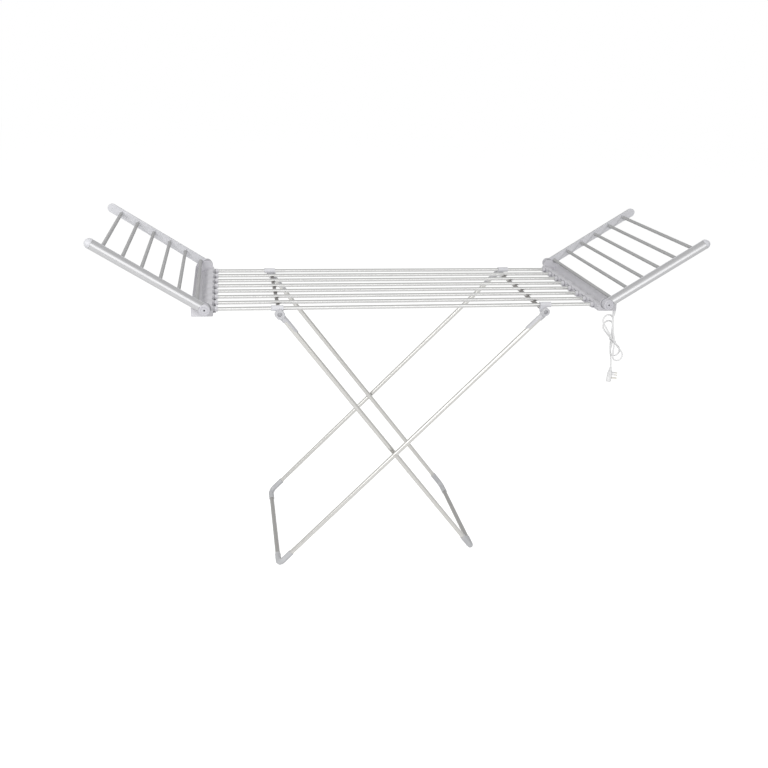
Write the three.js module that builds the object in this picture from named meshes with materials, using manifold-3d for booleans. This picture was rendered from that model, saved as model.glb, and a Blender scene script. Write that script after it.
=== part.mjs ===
// Heated winged clothes airer. A deck of eight heated tubes runs between two moulded end housings,
// a heated wing of six rungs hinges at each end, and two tubular leg frames cross below the deck.
// The outer frame swings on two fixed brackets. The inner one hangs from two brackets that slide
// along the outermost deck tubes, so the legs fold flat. Millimetres, +Z up, the long side along X,
// the side seen in the picture at -Y, and the origin on the floor at the middle of the airer.
import * as THREE from 'three';
import { mergeVertices } from 'three/addons/utils/BufferGeometryUtils.js';
import Module from 'manifold-3d';

const wasm = await Module();
wasm.setup();

// Fits shared by every piece
const seat = 0.3;                 // gap left between two pieces that touch
const overrun = 5;                // how far a cutting tool runs past what it cuts
const degree = Math.PI / 180;
const circlePull = 0.5523;        // handle length of a cubic quarter circle, as a share of its radius
const roundSides = 12;            // sides of small sockets, pins and their bores
const discSides = 20;             // and of discs, cheeks and ears
const hexSides = 6;

// Deck
const deckHeight = 913;           // axis of the deck tubes above the floor
const barCount = 8;
const edgeBarIn = 37;             // axis of the outermost tubes in from the housings' ends
const barRadius = 6;
const barWall = 1;
const barSides = 16;
const bossEnd = 594;              // face of the socket that each deck tube goes into, from the middle
const innerWall = 608;            // inner wall of a housing, from the middle
const barInside = 3;              // how far a deck tube reaches past that wall's inner face

// End housings
const housingWidth = 64;
const housingHalfLength = 257.5;
const housingDepth = 12;          // from the tube axis down to the flat bottom
const housingWall = 2.5;
const housingCorner = 14;
const cornerSteps = 4;            // steps of each rounded corner
const bossRadius = 8;
const coverThickness = 2.2;
const cheekThickness = 7;
const cheekRadius = 19.5;
const outerRim = 9.4;             // top of the cover's outer edge above the tube axis
const innerRim = 6.4;             // top of its inner edge
const humpHeight = 1.4;           // the cover swells over each deck tube
const troughDepth = 3.8;          // lowest line of the hollow under the first rung, below the tube axis

// Wings
const hingeOut = 632.5;           // wing hinge line, from the middle
const hingeRise = 13.4;           // and above the tube axis
const wingAngle = 32.5 * degree;
const railLength = 360.5;         // hinge line to the centre of the rail's round end
const railRadius = 15;
const railDepth = 22.5;
const railWall = 1.6;
const railSteps = 10;             // steps of the rail's round back
const endSteps = 8;               // and of its round end
const linerThickness = 5;
const wingGap = 0.5;              // inner face of the rails beyond the housings' ends
const rungCount = 6;
const firstRung = 26;
const lastRungIn = 32.75;         // the last rung in from the centre of the rail's round end
const rungRadius = 5.5;
const rungWall = 0.9;
const rungInset = 3.8;            // how deep a rung sits in its liner
const scoopLength = 42;
const scoopDepth = 3.4;
const capLength = 18;
const hingeRadius = 17;
const hingePin = 5;
const hingePinLength = 13;
const spigotDepth = 9;
const screwRadius = 3.4;
const screwDepth = 1.6;

// Leg frames
const legDrop = 15.5;             // leg pivots below the tube axis
const legRadius = 8;
const legWall = 1.2;
const legSides = 16;
const innerTop = -411;
const innerFoot = 269.6;
const innerLegOut = 7.5;          // plane of the inner legs beyond the axis of the outermost deck tube
const outerTop = 433.5;
const outerFoot = -420.6;
const outerLegOut = 30.5;         // and of the outer legs
const elbowRadius = 10;
const elbowArm = 62;
const elbowBend = 22;
const elbowSteps = 6;
const footFlat = 0.5;             // the elbows' undersides are worn to flats this deep
const socketFloor = 4;            // solid left between a socket and the elbow's bend
const eyeHalf = 12;                // the knuckle's flat eye is a square with round corners
const eyeCorner = 7;
const eyeThickness = 10;
const collarRadius = 9.6;
const collarStart = 15;
const collarEnd = 30;
const spigotLength = 28;          // the knuckles and wing hinges plug this far into their tubes
const tongueLength = 50;
const tongueWall = 1.9;
const tongueEdge = 2;             // height of its lower edges above the leg's axis
const rodRadius = 6;
const rivetRadius = 6.5;
const rivetHead = 2.2;

// Leg brackets
const sleeveRadius = 9.2;
const sleeveOut = 25;             // sleeve past the pivot, toward the end of the deck
const sleeveIn = 12;              // and toward the middle
const neckWidth = 17;
const earRadius = 12;
const earThickness = 8.7;
const rodSocket = 10;
const pinRadius = 4;
const headRadius = 6.4;
const headDepth = 3.6;
const hexRadius = 3.2;
const hexDepth = 2;
const notchWidth = 12;
const notchDepth = 3;
const socketWall = 2;
const spacerRadius = 8.4;

// Mains lead, its hank and plug
const cordRadius = 2.6;
const cordSides = 8;
const glandRadius = 5.8;
const glandTip = 4;
const glandLength = 22;
const glandIn = 2;                // its axis in from the housing's outer side
const glandEndIn = 11;            // and in from its near end
const hankReaches = [72, 97, 58, 70];   // of its loops from the waist, by turns down and up
const hankRound = 18;             // radius of the loops' round ends
const hankRunSteps = 2;           // steps of each straight run of a loop
const hankRoundSteps = 10;        // and of its round end
const hankSides = 6;
const leadSteps = 10;
const probeSteps = 4;             // places tried along each of its steps for the least gap to itself
const neighbourReach = 6 * cordRadius;
const hankStep = 7.2;             // each passage through the waist lies this far behind the last
const hankLean = 22 * degree;
const plugHeight = 36;
const plugWidth = 42;
const plugThickness = 17;
const plugTurn = -28 * degree;    // its pins point this far round, toward the near side
const pinLength = 17;
const pinWide = 6.4;
const pinThick = 4;
const plugPinSpread = 11;
const plugNeckShare = 0.45;       // half width of the plug's neck, as a share of its own half width
const plugShoulderShare = 0.35;   // height over which it widens
const pinRowShare = 0.45;         // height of its two lower pins below the top
const plugBevelSteps = 2;
const earthPinRise = 15;

// Heating cable inside the deck tubes
const cableRadius = 1.5;
const cableSides = 6;
const cableBend = 7;
const cableSteps = 2;             // steps of each bend
const cableOut = 11;              // how far each return loop runs past the wall's inner face

const finishes = {
  aluminium: { color: 0xd8d8d6, roughness: 0.32, metalness: 0.9 },
  satin: { color: 0xc9cacc, roughness: 0.38, metalness: 0.85 },
  rung: { color: 0xa9a9a9, roughness: 0.55, metalness: 0.6 },
  steel: { color: 0xcfccc8, roughness: 0.3, metalness: 0.85 },
  dark: { color: 0x6d6a68, roughness: 0.45, metalness: 0.8 },
  plastic: { color: 0xcfced6, roughness: 0.45, metalness: 0 },
  grey: { color: 0xbdbdc0, roughness: 0.5, metalness: 0 },
  cord: { color: 0xe4e4e4, roughness: 0.5, metalness: 0 },
  cable: { color: 0xb9402c, roughness: 0.6, metalness: 0 },
};

const airer = new THREE.Group();

function piece(name, geometry, finish, parent = airer) {
  const shape = geometry.getMesh ? geometryOf(geometry) : geometry;
  const mesh = new THREE.Mesh(shape, new THREE.MeshStandardMaterial(finishes[finish]));
  mesh.name = name;
  parent.add(mesh);
  return mesh;
}

// Solids for cutting and joining
function solid(geometry) {
  const bare = geometry.clone();
  bare.deleteAttribute('normal');
  bare.deleteAttribute('uv');
  const merged = mergeVertices(bare);
  return new wasm.Manifold(new wasm.Mesh({
    numProp: 3,
    vertProperties: new Float32Array(merged.attributes.position.array),
    triVerts: new Uint32Array(merged.index.array),
  }));
}

function geometryOf(manifold) {
  const mesh = manifold.getMesh();
  const geometry = new THREE.BufferGeometry();
  geometry.setAttribute('position', new THREE.BufferAttribute(new Float32Array(mesh.vertProperties), 3));
  geometry.setIndex(new THREE.BufferAttribute(new Uint32Array(mesh.triVerts), 1));
  geometry.computeVertexNormals();
  return geometry;
}

function join(...geometries) {
  return geometries.map((g) => (g.getMesh ? g : solid(g))).reduce((a, b) => a.add(b));
}

function cut(body, ...tools) {
  const start = body.getMesh ? body : solid(body);
  return tools.reduce((a, tool) => a.subtract(tool.getMesh ? tool : solid(tool)), start);
}

// Primitive forms, each given by where it starts and ends along an axis
function rodX(radius, from, to, sides = legSides) {
  const rod = new THREE.CylinderGeometry(radius, radius, to - from, sides);
  return rod.rotateZ(-Math.PI / 2).translate((from + to) / 2, 0, 0);
}

function rodY(radius, from, to, sides = legSides) {
  const [low, high] = from < to ? [from, to] : [to, from];
  return new THREE.CylinderGeometry(radius, radius, high - low, sides).translate(0, (low + high) / 2, 0);
}

function tubeX(radius, bore, from, to, sides = legSides) {
  const half = (to - from) / 2;
  const ring = [[bore, -half], [radius, -half], [radius, half], [bore, half], [bore, -half]];
  const lathe = new THREE.LatheGeometry(ring.map(([r, h]) => new THREE.Vector2(r, h)), sides);
  return lathe.rotateZ(-Math.PI / 2).translate((from + to) / 2, 0, 0);
}

function tubeY(radius, bore, from, to, sides = legSides) {
  const [low, high] = from < to ? [from, to] : [to, from];
  return tubeX(radius, bore, low, high, sides).rotateZ(Math.PI / 2);
}

function block(x, y, z) {
  const [width, depth, height] = [x, y, z].map(([a, b]) => Math.abs(b - a));
  const [cx, cy, cz] = [x, y, z].map(([a, b]) => (a + b) / 2);
  return new THREE.BoxGeometry(width, depth, height).translate(cx, cy, cz);
}

// A plate in the XZ plane, carried along Y between two faces
function plateY(shape, from, to, segments = 8) {
  const [low, high] = from < to ? [from, to] : [to, from];
  const options = { depth: high - low, bevelEnabled: false, curveSegments: segments };
  const plate = new THREE.ExtrudeGeometry(shape, options);
  return plate.rotateX(Math.PI / 2).translate(0, high, 0);
}

function tubeAlong(curve, radius, sides, steps) {
  const section = new THREE.Shape();
  for (let k = 0; k < sides; k += 1) {
    const turn = (k / sides) * Math.PI * 2;
    const [x, y] = [radius * Math.cos(turn), radius * Math.sin(turn)];
    if (k === 0) section.moveTo(x, y);
    else section.lineTo(x, y);
  }
  return new THREE.ExtrudeGeometry(section, { steps, extrudePath: curve });
}

// Deck tubes, spaced evenly about the middle
const barPitch = (2 * (housingHalfLength - edgeBarIn)) / (barCount - 1);
const barY = (k) => (k - (barCount - 1) / 2) * barPitch;
const barEnd = innerWall + housingWall + barInside;
for (let k = 0; k < barCount; k += 1) {
  const tube = tubeX(barRadius, barRadius - barWall, -barEnd, barEnd, barSides);
  piece(`deck_bar_${barCount - k}`, tube.translate(0, barY(k), deckHeight), 'aluminium');
}
const edgeBarY = barY(barCount - 1);

// One heating cable runs to and fro through all eight deck tubes
function cableRoute() {
  const path = new THREE.CurvePath();
  const turnX = innerWall + housingWall + cableOut;
  const lead = turnX - cableBend;
  let from = new THREE.Vector3(-lead, barY(0), deckHeight);
  for (let k = 0; k < barCount; k += 1) {
    const side = k % 2 ? -1 : 1;
    const [here, next] = [barY(k), barY(k + 1)];
    const end = new THREE.Vector3(side * lead, here, deckHeight);
    path.add(new THREE.LineCurve3(from, end));
    if (k === barCount - 1) break;
    const corner = new THREE.Vector3(side * turnX, here, deckHeight);
    const out = new THREE.Vector3(side * turnX, here + cableBend, deckHeight);
    const back = new THREE.Vector3(side * turnX, next - cableBend, deckHeight);
    const far = new THREE.Vector3(side * turnX, next, deckHeight);
    from = new THREE.Vector3(side * lead, next, deckHeight);
    path.add(new THREE.QuadraticBezierCurve3(end, corner, out));
    path.add(new THREE.LineCurve3(out, back));
    path.add(new THREE.QuadraticBezierCurve3(back, far, from));
  }
  return path;
}

// A tube swept through chosen stations of a path, for a path of long straights and short bends
function sweptFlat(path, radius, sides, bendSteps) {
  const stations = [];
  path.curves.forEach((curve, n) => {
    const count = curve.isLineCurve3 ? 1 : bendSteps;
    for (let s = n === 0 ? 0 : 1; s <= count; s += 1) {
      stations.push([curve.getPoint(s / count), curve.getTangent(s / count)]);
    }
  });
  const up = new THREE.Vector3(0, 0, 1);
  const places = [];
  stations.forEach(([point, along]) => {
    const across = new THREE.Vector3().crossVectors(along, up).normalize();
    for (let k = 0; k < sides; k += 1) {
      const turn = (k / sides) * Math.PI * 2;
      const spot = point.clone().addScaledVector(across, radius * Math.cos(turn));
      places.push(...spot.addScaledVector(up, radius * Math.sin(turn)).toArray());
    }
  });
  const faces = [];
  for (let n = 0; n + 1 < stations.length; n += 1) {
    for (let k = 0; k < sides; k += 1) {
      const [a, b] = [n * sides + k, n * sides + ((k + 1) % sides)];
      faces.push(a, a + sides, b, b, a + sides, b + sides);
    }
  }
  const last = (stations.length - 1) * sides;
  for (let k = 1; k + 1 < sides; k += 1) faces.push(0, k, k + 1, last, last + k + 1, last + k);
  const geometry = new THREE.BufferGeometry();
  geometry.setAttribute('position', new THREE.Float32BufferAttribute(places, 3));
  geometry.setIndex(faces);
  geometry.computeVertexNormals();
  return geometry;
}

const cable = sweptFlat(cableRoute(), cableRadius, cableSides, cableSteps);
piece('heating_cable', cable, 'cable');

// End housing, worked out for the right end. The left one is the same turned half round.
const bottomZ = deckHeight - housingDepth;
const outerWall = innerWall + housingWidth;
const hingeZ = deckHeight + hingeRise;
const coverHalf = housingHalfLength - cheekThickness - seat;
const wingFace = housingHalfLength + wingGap;

function roundedPlan(inset) {
  const [x0, x1, y1] = [innerWall + inset, outerWall - inset, housingHalfLength - inset];
  const r = housingCorner - inset;
  const plan = new THREE.Shape();
  plan.moveTo(x0 + r, -y1);
  plan.lineTo(x1 - r, -y1).absarc(x1 - r, r - y1, r, -Math.PI / 2, 0);
  plan.lineTo(x1, y1 - r).absarc(x1 - r, y1 - r, r, 0, Math.PI / 2);
  plan.lineTo(x0 + r, y1).absarc(x0 + r, y1 - r, r, Math.PI / 2, Math.PI);
  plan.lineTo(x0, r - y1).absarc(x0 + r, r - y1, r, Math.PI, 1.5 * Math.PI);
  return plan;
}

function planSolid(inset, low, high) {
  const options = { depth: high - low, bevelEnabled: false, curveSegments: cornerSteps };
  const slab = new THREE.ExtrudeGeometry(roundedPlan(inset), options);
  return slab.translate(0, 0, low);
}

const glandX = outerWall - glandIn;
const glandY = glandEndIn - housingHalfLength;

function barTools(radius, from, to, sides) {
  const tools = [];
  for (let k = 0; k < barCount; k += 1) {
    tools.push(rodX(radius, from, to, sides).translate(0, barY(k), deckHeight));
  }
  return tools;
}

function cheek(side) {
  const inner = side * (housingHalfLength - cheekThickness);
  const outer = side * housingHalfLength;
  const round = rodY(cheekRadius, inner, outer, discSides).translate(hingeOut, 0, hingeZ);
  const webX = [hingeOut - cheekRadius, hingeOut + cheekRadius];
  const web = block(webX, [inner, outer], [bottomZ + housingWall / 2, hingeZ]);
  const face = wingFace - housingHalfLength;
  const pin = rodY(hingePin, outer - side * face, outer + side * hingePinLength, roundSides);
  return join(round, web, pin.translate(hingeOut, 0, hingeZ));
}

function tray(right) {
  const hollow = planSolid(housingWall, bottomZ + housingWall, deckHeight);
  let body = cut(planSolid(0, bottomZ, deckHeight - seat / 2), hollow);
  const bosses = barTools(bossRadius, bossEnd, innerWall + housingWall / 2, roundSides);
  const everyY = [-housingHalfLength, housingHalfLength];
  const upper = block([0, outerWall + overrun], everyY, [deckHeight - seat / 2, hingeZ]);
  body = cut(join(body, ...bosses), ...barTools(barRadius + seat, 0, barEnd + overrun, roundSides), upper);
  body = join(body, cheek(1), cheek(-1));
  if (!right) return body;
  const gland = new THREE.CylinderGeometry(glandRadius, glandTip, glandLength, legSides).rotateX(Math.PI / 2);
  const low = bottomZ - glandLength + housingWall;
  const sleeve = rodY(glandRadius, 0, housingDepth - seat, legSides).rotateX(Math.PI / 2);
  const lead = rodY(cordRadius + seat, 0, glandLength / 2 + overrun, roundSides).rotateX(Math.PI / 2);
  gland.translate(glandX, glandY, low + glandLength / 2);
  body = join(body, gland, sleeve.translate(glandX, glandY, bottomZ));
  return cut(body, lead.translate(glandX, glandY, low - overrun));
}

// The cover's height across the housing, from the inner edge to the outer one. It runs level over
// the return loops of the cable, then dips into the hollow that the first rung rests over.
const coverPlaceShares = [0, 0.25, 0.42, 0.6, 0.82, 1];
const innerRimShares = [1, 0.95, 0, 0, 0, 0];
const troughShares = [0, 0, 0.2, 1, 0, 0];
const outerRimShares = [0, 0, 0, 0, 0.2, 1];
const humpShares = [1, 0.9, 0.5, 0.2, 0, 0];
const humpSteps = 4;

function cover() {
  const columns = coverPlaceShares.length;
  const rows = barCount * humpSteps + 1;
  const places = [];
  for (const level of [0, 1]) {
    for (let j = 0; j < rows; j += 1) {
      const across = (j / humpSteps - barCount / 2) * barPitch;
      const y = Math.min(Math.max(across, -coverHalf), coverHalf);
      const wave = -Math.cos((j / humpSteps) * Math.PI * 2) * humpHeight;
      for (let i = 0; i < columns; i += 1) {
        const rims = innerRimShares[i] * innerRim + outerRimShares[i] * outerRim;
        const top = rims - troughShares[i] * troughDepth + humpShares[i] * wave;
        const rim = i === 0 || i === columns - 1;
        const under = rim ? seat / 2 : top - coverThickness;
        const edge = innerWall + (i === 0 ? seat : 0) + coverPlaceShares[i] * housingWidth;
        places.push(edge, y, deckHeight + (level ? top : under));
      }
    }
  }
  const layer = columns * rows;
  const at = (level, i, j) => level * layer + j * columns + i;
  const faces = [];
  const quad = (a, b, c, d) => faces.push(a, b, c, a, c, d);
  for (let j = 0; j + 1 < rows; j += 1) {
    for (let i = 0; i + 1 < columns; i += 1) {
      quad(at(1, i, j), at(1, i + 1, j), at(1, i + 1, j + 1), at(1, i, j + 1));
      quad(at(0, i, j), at(0, i, j + 1), at(0, i + 1, j + 1), at(0, i + 1, j));
    }
    quad(at(0, 0, j), at(1, 0, j), at(1, 0, j + 1), at(0, 0, j + 1));
    quad(at(0, columns - 1, j), at(0, columns - 1, j + 1), at(1, columns - 1, j + 1), at(1, columns - 1, j));
  }
  for (let i = 0; i + 1 < columns; i += 1) {
    quad(at(0, i, 0), at(0, i + 1, 0), at(1, i + 1, 0), at(1, i, 0));
    quad(at(0, i, rows - 1), at(1, i, rows - 1), at(1, i + 1, rows - 1), at(0, i + 1, rows - 1));
  }
  const geometry = new THREE.BufferGeometry();
  geometry.setAttribute('position', new THREE.Float32BufferAttribute(places, 3));
  geometry.setIndex(faces);
  const upperBosses = barTools(bossRadius, bossEnd, innerWall + housingWall, roundSides);
  const everyY = [-housingHalfLength, housingHalfLength];
  const lower = block([0, innerWall + housingWall], everyY, [bottomZ, deckHeight + seat / 2]);
  const bosses = cut(join(...upperBosses), lower);
  return cut(join(geometry, bosses), ...barTools(barRadius + seat, 0, barEnd + overrun, roundSides));
}

for (const side of ['right', 'left']) {
  const end = new THREE.Group();
  end.rotation.z = side === 'right' ? 0 : Math.PI;
  airer.add(end);
  piece(`${side}_housing_tray`, tray(side === 'right'), 'plastic', end);
  piece(`${side}_housing_cover`, cover(), 'plastic', end);
}

// Wings, worked out lying along +X from the hinge line, then turned up to their stop
const rungPitch = (railLength - lastRungIn - firstRung) / (rungCount - 1);

function railSection(inset) {
  const section = new THREE.Shape();
  const [height, depth] = [railRadius - inset, railDepth - linerThickness - seat - inset];
  for (let k = 0; k <= railSteps; k += 1) {
    const turn = (k / railSteps) * Math.PI;
    const [z, y] = [height * Math.cos(turn), depth * Math.sin(turn)];
    if (k === 0) section.moveTo(z, y);
    else section.lineTo(z, y);
  }
  return section;
}

// A section whose X is the wing's height and Y its depth, carried along the rail. The depth runs
// away from the middle of the airer, so side is -1 for the near rail and 1 for the far one.
function alongRail(section, from, to, side, face) {
  const bar = new THREE.ExtrudeGeometry(section, { depth: to - from, bevelEnabled: false });
  const turned = new THREE.Matrix4().set(0, 0, 1, from, 0, side, 0, side * face, -side, 0, 0, 0, 0, 0, 0, 1);
  return bar.applyMatrix4(turned);
}

const rungX = (k) => firstRung + k * rungPitch;
const linerBack = wingFace + linerThickness;
const railBack = linerBack + seat;
const railEnd = railLength + railRadius - capLength;

function rail(side) {
  const start = hingeRadius / 2;
  const hollow = alongRail(railSection(railWall), start - overrun, railEnd + overrun, side, railBack - seat);
  const round = rodY(hingeRadius + seat, side * wingFace, side * (wingFace + railDepth + overrun), discSides);
  return cut(alongRail(railSection(0), start, railEnd, side, railBack), hollow, round);
}

// The liner closes the rail's open side. Each rung goes into a socket in it, with a scooped recess
// beside the rung, and its far end wraps over the end of the rail as a round cap.
function liner(side) {
  const plan = new THREE.Shape();
  plan.moveTo(hingeRadius / 2, -railRadius);
  plan.lineTo(railLength, -railRadius).absarc(railLength, 0, railRadius, -Math.PI / 2, Math.PI / 2);
  plan.lineTo(hingeRadius / 2, railRadius);
  const plate = plateY(plan, side * wingFace, side * linerBack, endSteps);
  const capShape = new THREE.Shape();
  capShape.moveTo(railEnd + seat, -railRadius);
  capShape.lineTo(railLength, -railRadius).absarc(railLength, 0, railRadius, -Math.PI / 2, Math.PI / 2);
  capShape.lineTo(railEnd + seat, railRadius);
  const capBlock = solid(plateY(capShape, side * wingFace, side * (wingFace + railDepth), endSteps));
  const capReach = railLength + railRadius + overrun;
  const capRound = alongRail(railSection(0), railEnd, capReach, side, railBack);
  const capBack = block([railEnd, capReach], [side * wingFace, side * railBack], [-railRadius, railRadius]);
  const cap = capBlock.intersect(join(capRound, capBack));
  const before = side * (wingFace - overrun);
  const tools = [rodY(hingeRadius + seat, before, side * (wingFace + railDepth), discSides)];
  for (let k = 0; k < rungCount; k += 1) {
    const socket = rodY(rungRadius + seat, before, side * (wingFace + rungInset + seat), roundSides);
    tools.push(socket.translate(rungX(k), 0, 0));
    if (k === 0) continue;
    const scoop = new THREE.Shape();
    scoop.moveTo(rungX(k), before);
    scoop.lineTo(rungX(k), side * (wingFace + scoopDepth));
    scoop.lineTo(rungX(k) - scoopLength, side * wingFace);
    scoop.lineTo(rungX(k) - scoopLength, before);
    const depth = railRadius + overrun + rungRadius;
    const tool = new THREE.ExtrudeGeometry(scoop, { depth, bevelEnabled: false });
    tools.push(tool.translate(0, 0, -railRadius - overrun));
  }
  const screw = rodY(screwRadius, before, side * (wingFace + screwDepth), roundSides);
  return cut(join(plate, cap), ...tools, screw.translate(railLength, 0, 0));
}

function hinge(side) {
  const faceShares = [[0, 1], [0.55, 1], [0.62, 0.95], [0.8, 0.95], [0.85, 0.99], [1, 0.94]];
  const profile = [[0, 0], [hingeRadius, 0]];
  faceShares.slice().reverse().forEach(([r, h]) => profile.push([r * hingeRadius, h * railDepth]));
  const points = profile.map(([r, h]) => new THREE.Vector2(r, h));
  const disc = new THREE.LatheGeometry(points, discSides);
  if (side < 0) disc.rotateX(Math.PI);
  disc.translate(0, side * wingFace, 0);
  const spigotHalf = railRadius / 2;
  const spigotY = [side * (railBack + seat), side * (railBack + seat + spigotDepth)];
  const spigot = block([hingeRadius / 2, hingeRadius + spigotLength], spigotY, [-spigotHalf, spigotHalf]);
  const face = wingFace + railDepth;
  const boreEnd = wingFace + hingePinLength + seat;
  const bore = rodY(hingePin + seat, side * (wingFace - overrun), side * boreEnd, roundSides);
  const screw = rodY(screwRadius, side * (face - screwDepth), side * (face + overrun), roundSides);
  return cut(join(disc, spigot), bore, screw);
}

const rungEnd = wingFace + rungInset;
for (const side of ['right', 'left']) {
  const turned = new THREE.Group();
  turned.rotation.z = side === 'right' ? 0 : Math.PI;
  const wing = new THREE.Group();
  wing.position.set(hingeOut, 0, hingeZ);
  wing.rotation.y = -wingAngle;
  turned.add(wing);
  airer.add(turned);
  for (const [place, sign] of [['near', -1], ['far', 1]]) {
    const y = side === 'right' ? sign : -sign;
    piece(`${side}_wing_rail_${place}`, rail(y), 'satin', wing);
    piece(`${side}_wing_liner_${place}`, liner(y), 'plastic', wing);
    piece(`${side}_wing_hinge_${place}`, hinge(y), 'plastic', wing);
  }
  for (let k = 0; k < rungCount; k += 1) {
    const rung = tubeY(rungRadius, rungRadius - rungWall, -rungEnd, rungEnd, roundSides);
    piece(`${side}_wing_rung_${k + 1}`, rung.translate(rungX(k), 0, 0), 'rung', wing);
  }
}

// Leg brackets: a sleeve over an outermost deck tube, with an ear below that carries the leg pin
const pivotZ = deckHeight - legDrop;
const earIn = edgeBarY + sleeveRadius - earThickness;
const earOut = edgeBarY + sleeveRadius;
const innerEye = earOut + seat;
const innerLegY = edgeBarY + innerLegOut;
const outerLegY = edgeBarY + outerLegOut;
const outerEye = outerLegY - legRadius + seat;

function bracket(x, outward, side, eyeStart) {
  const sleeve = [x - sleeveIn * outward, x + sleeveOut * outward].sort((a, b) => a - b);
  const tube = rodX(sleeveRadius, ...sleeve, legSides).translate(0, side * edgeBarY, deckHeight);
  const neckX = [x - neckWidth / 2, x + neckWidth / 2];
  const neck = block(neckX, [side * earIn, side * earOut], [pivotZ, deckHeight]);
  const ear = rodY(earRadius, side * earIn, side * earOut, discSides).translate(x, 0, pivotZ);
  const eyeOut = eyeStart + eyeThickness;
  const round = (radius, from, to) =>
    rodY(radius, side * from, side * to, roundSides).translate(x, 0, pivotZ);
  const boss = round(rodRadius + socketWall, earIn - rodSocket, earIn + seat);
  const pin = round(pinRadius, earIn, eyeOut - headDepth / 2);
  const head = round(headRadius, eyeOut - headDepth, eyeOut);
  const parts = [tube, neck, ear, boss, pin, head];
  if (eyeStart - earOut > seat * 2) parts.push(round(spacerRadius, earOut, eyeStart - seat));
  const notch = block(
    [x + outward * (sleeveOut - notchWidth), x + outward * (sleeveOut + overrun)],
    [side * (edgeBarY - sleeveRadius * 2), side * (edgeBarY + sleeveRadius * 2)],
    [deckHeight - sleeveRadius * 2, deckHeight - sleeveRadius + notchDepth],
  );
  const bore = rodX(barRadius + seat, sleeve[0] - overrun, sleeve[1] + overrun, roundSides);
  const rodSeat = round(rodRadius + seat, earIn - rodSocket - overrun, earIn);
  const hex = rodY(hexRadius, side * (eyeOut - hexDepth), side * (eyeOut + overrun), hexSides);
  const tools = [bore.translate(0, side * edgeBarY, deckHeight), notch, rodSeat];
  return cut(join(...parts), ...tools, hex.translate(x, 0, pivotZ));
}

for (const [place, side] of [['near', -1], ['far', 1]]) {
  piece(`sliding_bracket_${place}`, bracket(innerTop, -1, side, innerEye), 'plastic');
  piece(`fixed_bracket_${place}`, bracket(outerTop, 1, side, outerEye), 'plastic');
}
const rodEnd = earIn - seat;
const crossRod = (x) => rodY(rodRadius, -rodEnd, rodEnd, roundSides).translate(x, 0, pivotZ);
piece('sliding_cross_rod', crossRod(innerTop), 'dark');
piece('fixed_cross_rod', crossRod(outerTop), 'dark');

// Leg frames, each worked out in its own plane: +X down the leg from the pivot, Y across the airer
const footZ = elbowRadius - footFlat;

function knuckle(side, legOut, eyeStart, tongueUp) {
  const [eyeLow, eyeHigh] = [side * eyeStart, side * (eyeStart + eyeThickness)];
  const shape = new THREE.Shape();
  const near = eyeHalf - eyeCorner;
  shape.moveTo(collarEnd, collarRadius).lineTo(collarStart, eyeHalf);
  shape.lineTo(-near, eyeHalf).absarc(-near, near, eyeCorner, Math.PI / 2, Math.PI);
  shape.lineTo(-eyeHalf, -near).absarc(-near, -near, eyeCorner, Math.PI, 1.5 * Math.PI);
  shape.lineTo(collarStart, -eyeHalf).lineTo(collarEnd, -collarRadius);
  const eye = plateY(shape, eyeLow, eyeHigh, cornerSteps);
  const collar = rodX(collarRadius, collarStart, collarEnd, legSides).translate(0, side * legOut, 0);
  const core = rodX(legRadius - legWall - seat, collarEnd - seat, collarEnd + spigotLength, roundSides);
  const from = collarEnd - overrun;
  const tongueEnd = collarEnd + tongueLength;
  const beyond = collarRadius + overrun;
  const strip = cut(
    rodX(legRadius + seat + tongueWall, from, tongueEnd, legSides),
    rodX(legRadius + seat, from + overrun, tongueEnd + overrun, legSides),
    block(
      [from - overrun, tongueEnd + overrun],
      [-beyond, beyond],
      [-tongueUp * beyond, tongueUp * tongueEdge],
    ),
  );
  const eyeEnd = eyeStart + eyeThickness;
  const bore = rodY(pinRadius + seat, side * (eyeStart - overrun), side * (eyeEnd + overrun), roundSides);
  const sinkFloor = eyeEnd - headDepth - seat;
  const sink = rodY(headRadius + seat, side * sinkFloor, side * (eyeEnd + overrun), roundSides);
  const inLeg = [core, strip].map((form) => form.translate(0, side * legOut, 0));
  return cut(join(eye, collar, ...inLeg), bore, sink);
}

// Down the leg, round the bend and inward along the foot tube
function elbowPath(side, legOut, length) {
  const at = (down, inward) => new THREE.Vector3(length + down, side * (legOut - inward), 0);
  const pull = elbowBend * (1 - circlePull);
  const path = new THREE.CurvePath();
  path.add(new THREE.LineCurve3(at(-elbowArm, 0), at(-elbowBend, 0)));
  path.add(new THREE.CubicBezierCurve3(at(-elbowBend, 0), at(-pull, 0), at(0, pull), at(0, elbowBend)));
  path.add(new THREE.LineCurve3(at(0, elbowBend), at(0, elbowArm)));
  return path;
}

function elbow(side, legOut, length, place) {
  const outside = sweptFlat(elbowPath(side, legOut, length), elbowRadius, legSides, elbowSteps);
  const reach = elbowArm - elbowBend - socketFloor;
  const bore = legRadius + seat;
  const [legStart, footStart] = [length - elbowArm, legOut - elbowArm];
  const legSocket = rodX(bore, legStart - overrun, legStart + reach, legSides);
  const footSocket = rodY(bore, side * (footStart - overrun), side * (footStart + reach), legSides);
  const body = cut(outside, legSocket.translate(0, side * legOut, 0), footSocket.translate(length, 0, 0));
  const stood = solid(geometryOf(body).applyMatrix4(place));
  const span = length + legOut;
  return cut(stood, block([-span, span], [-span, span], [-span, 0]));
}

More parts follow.
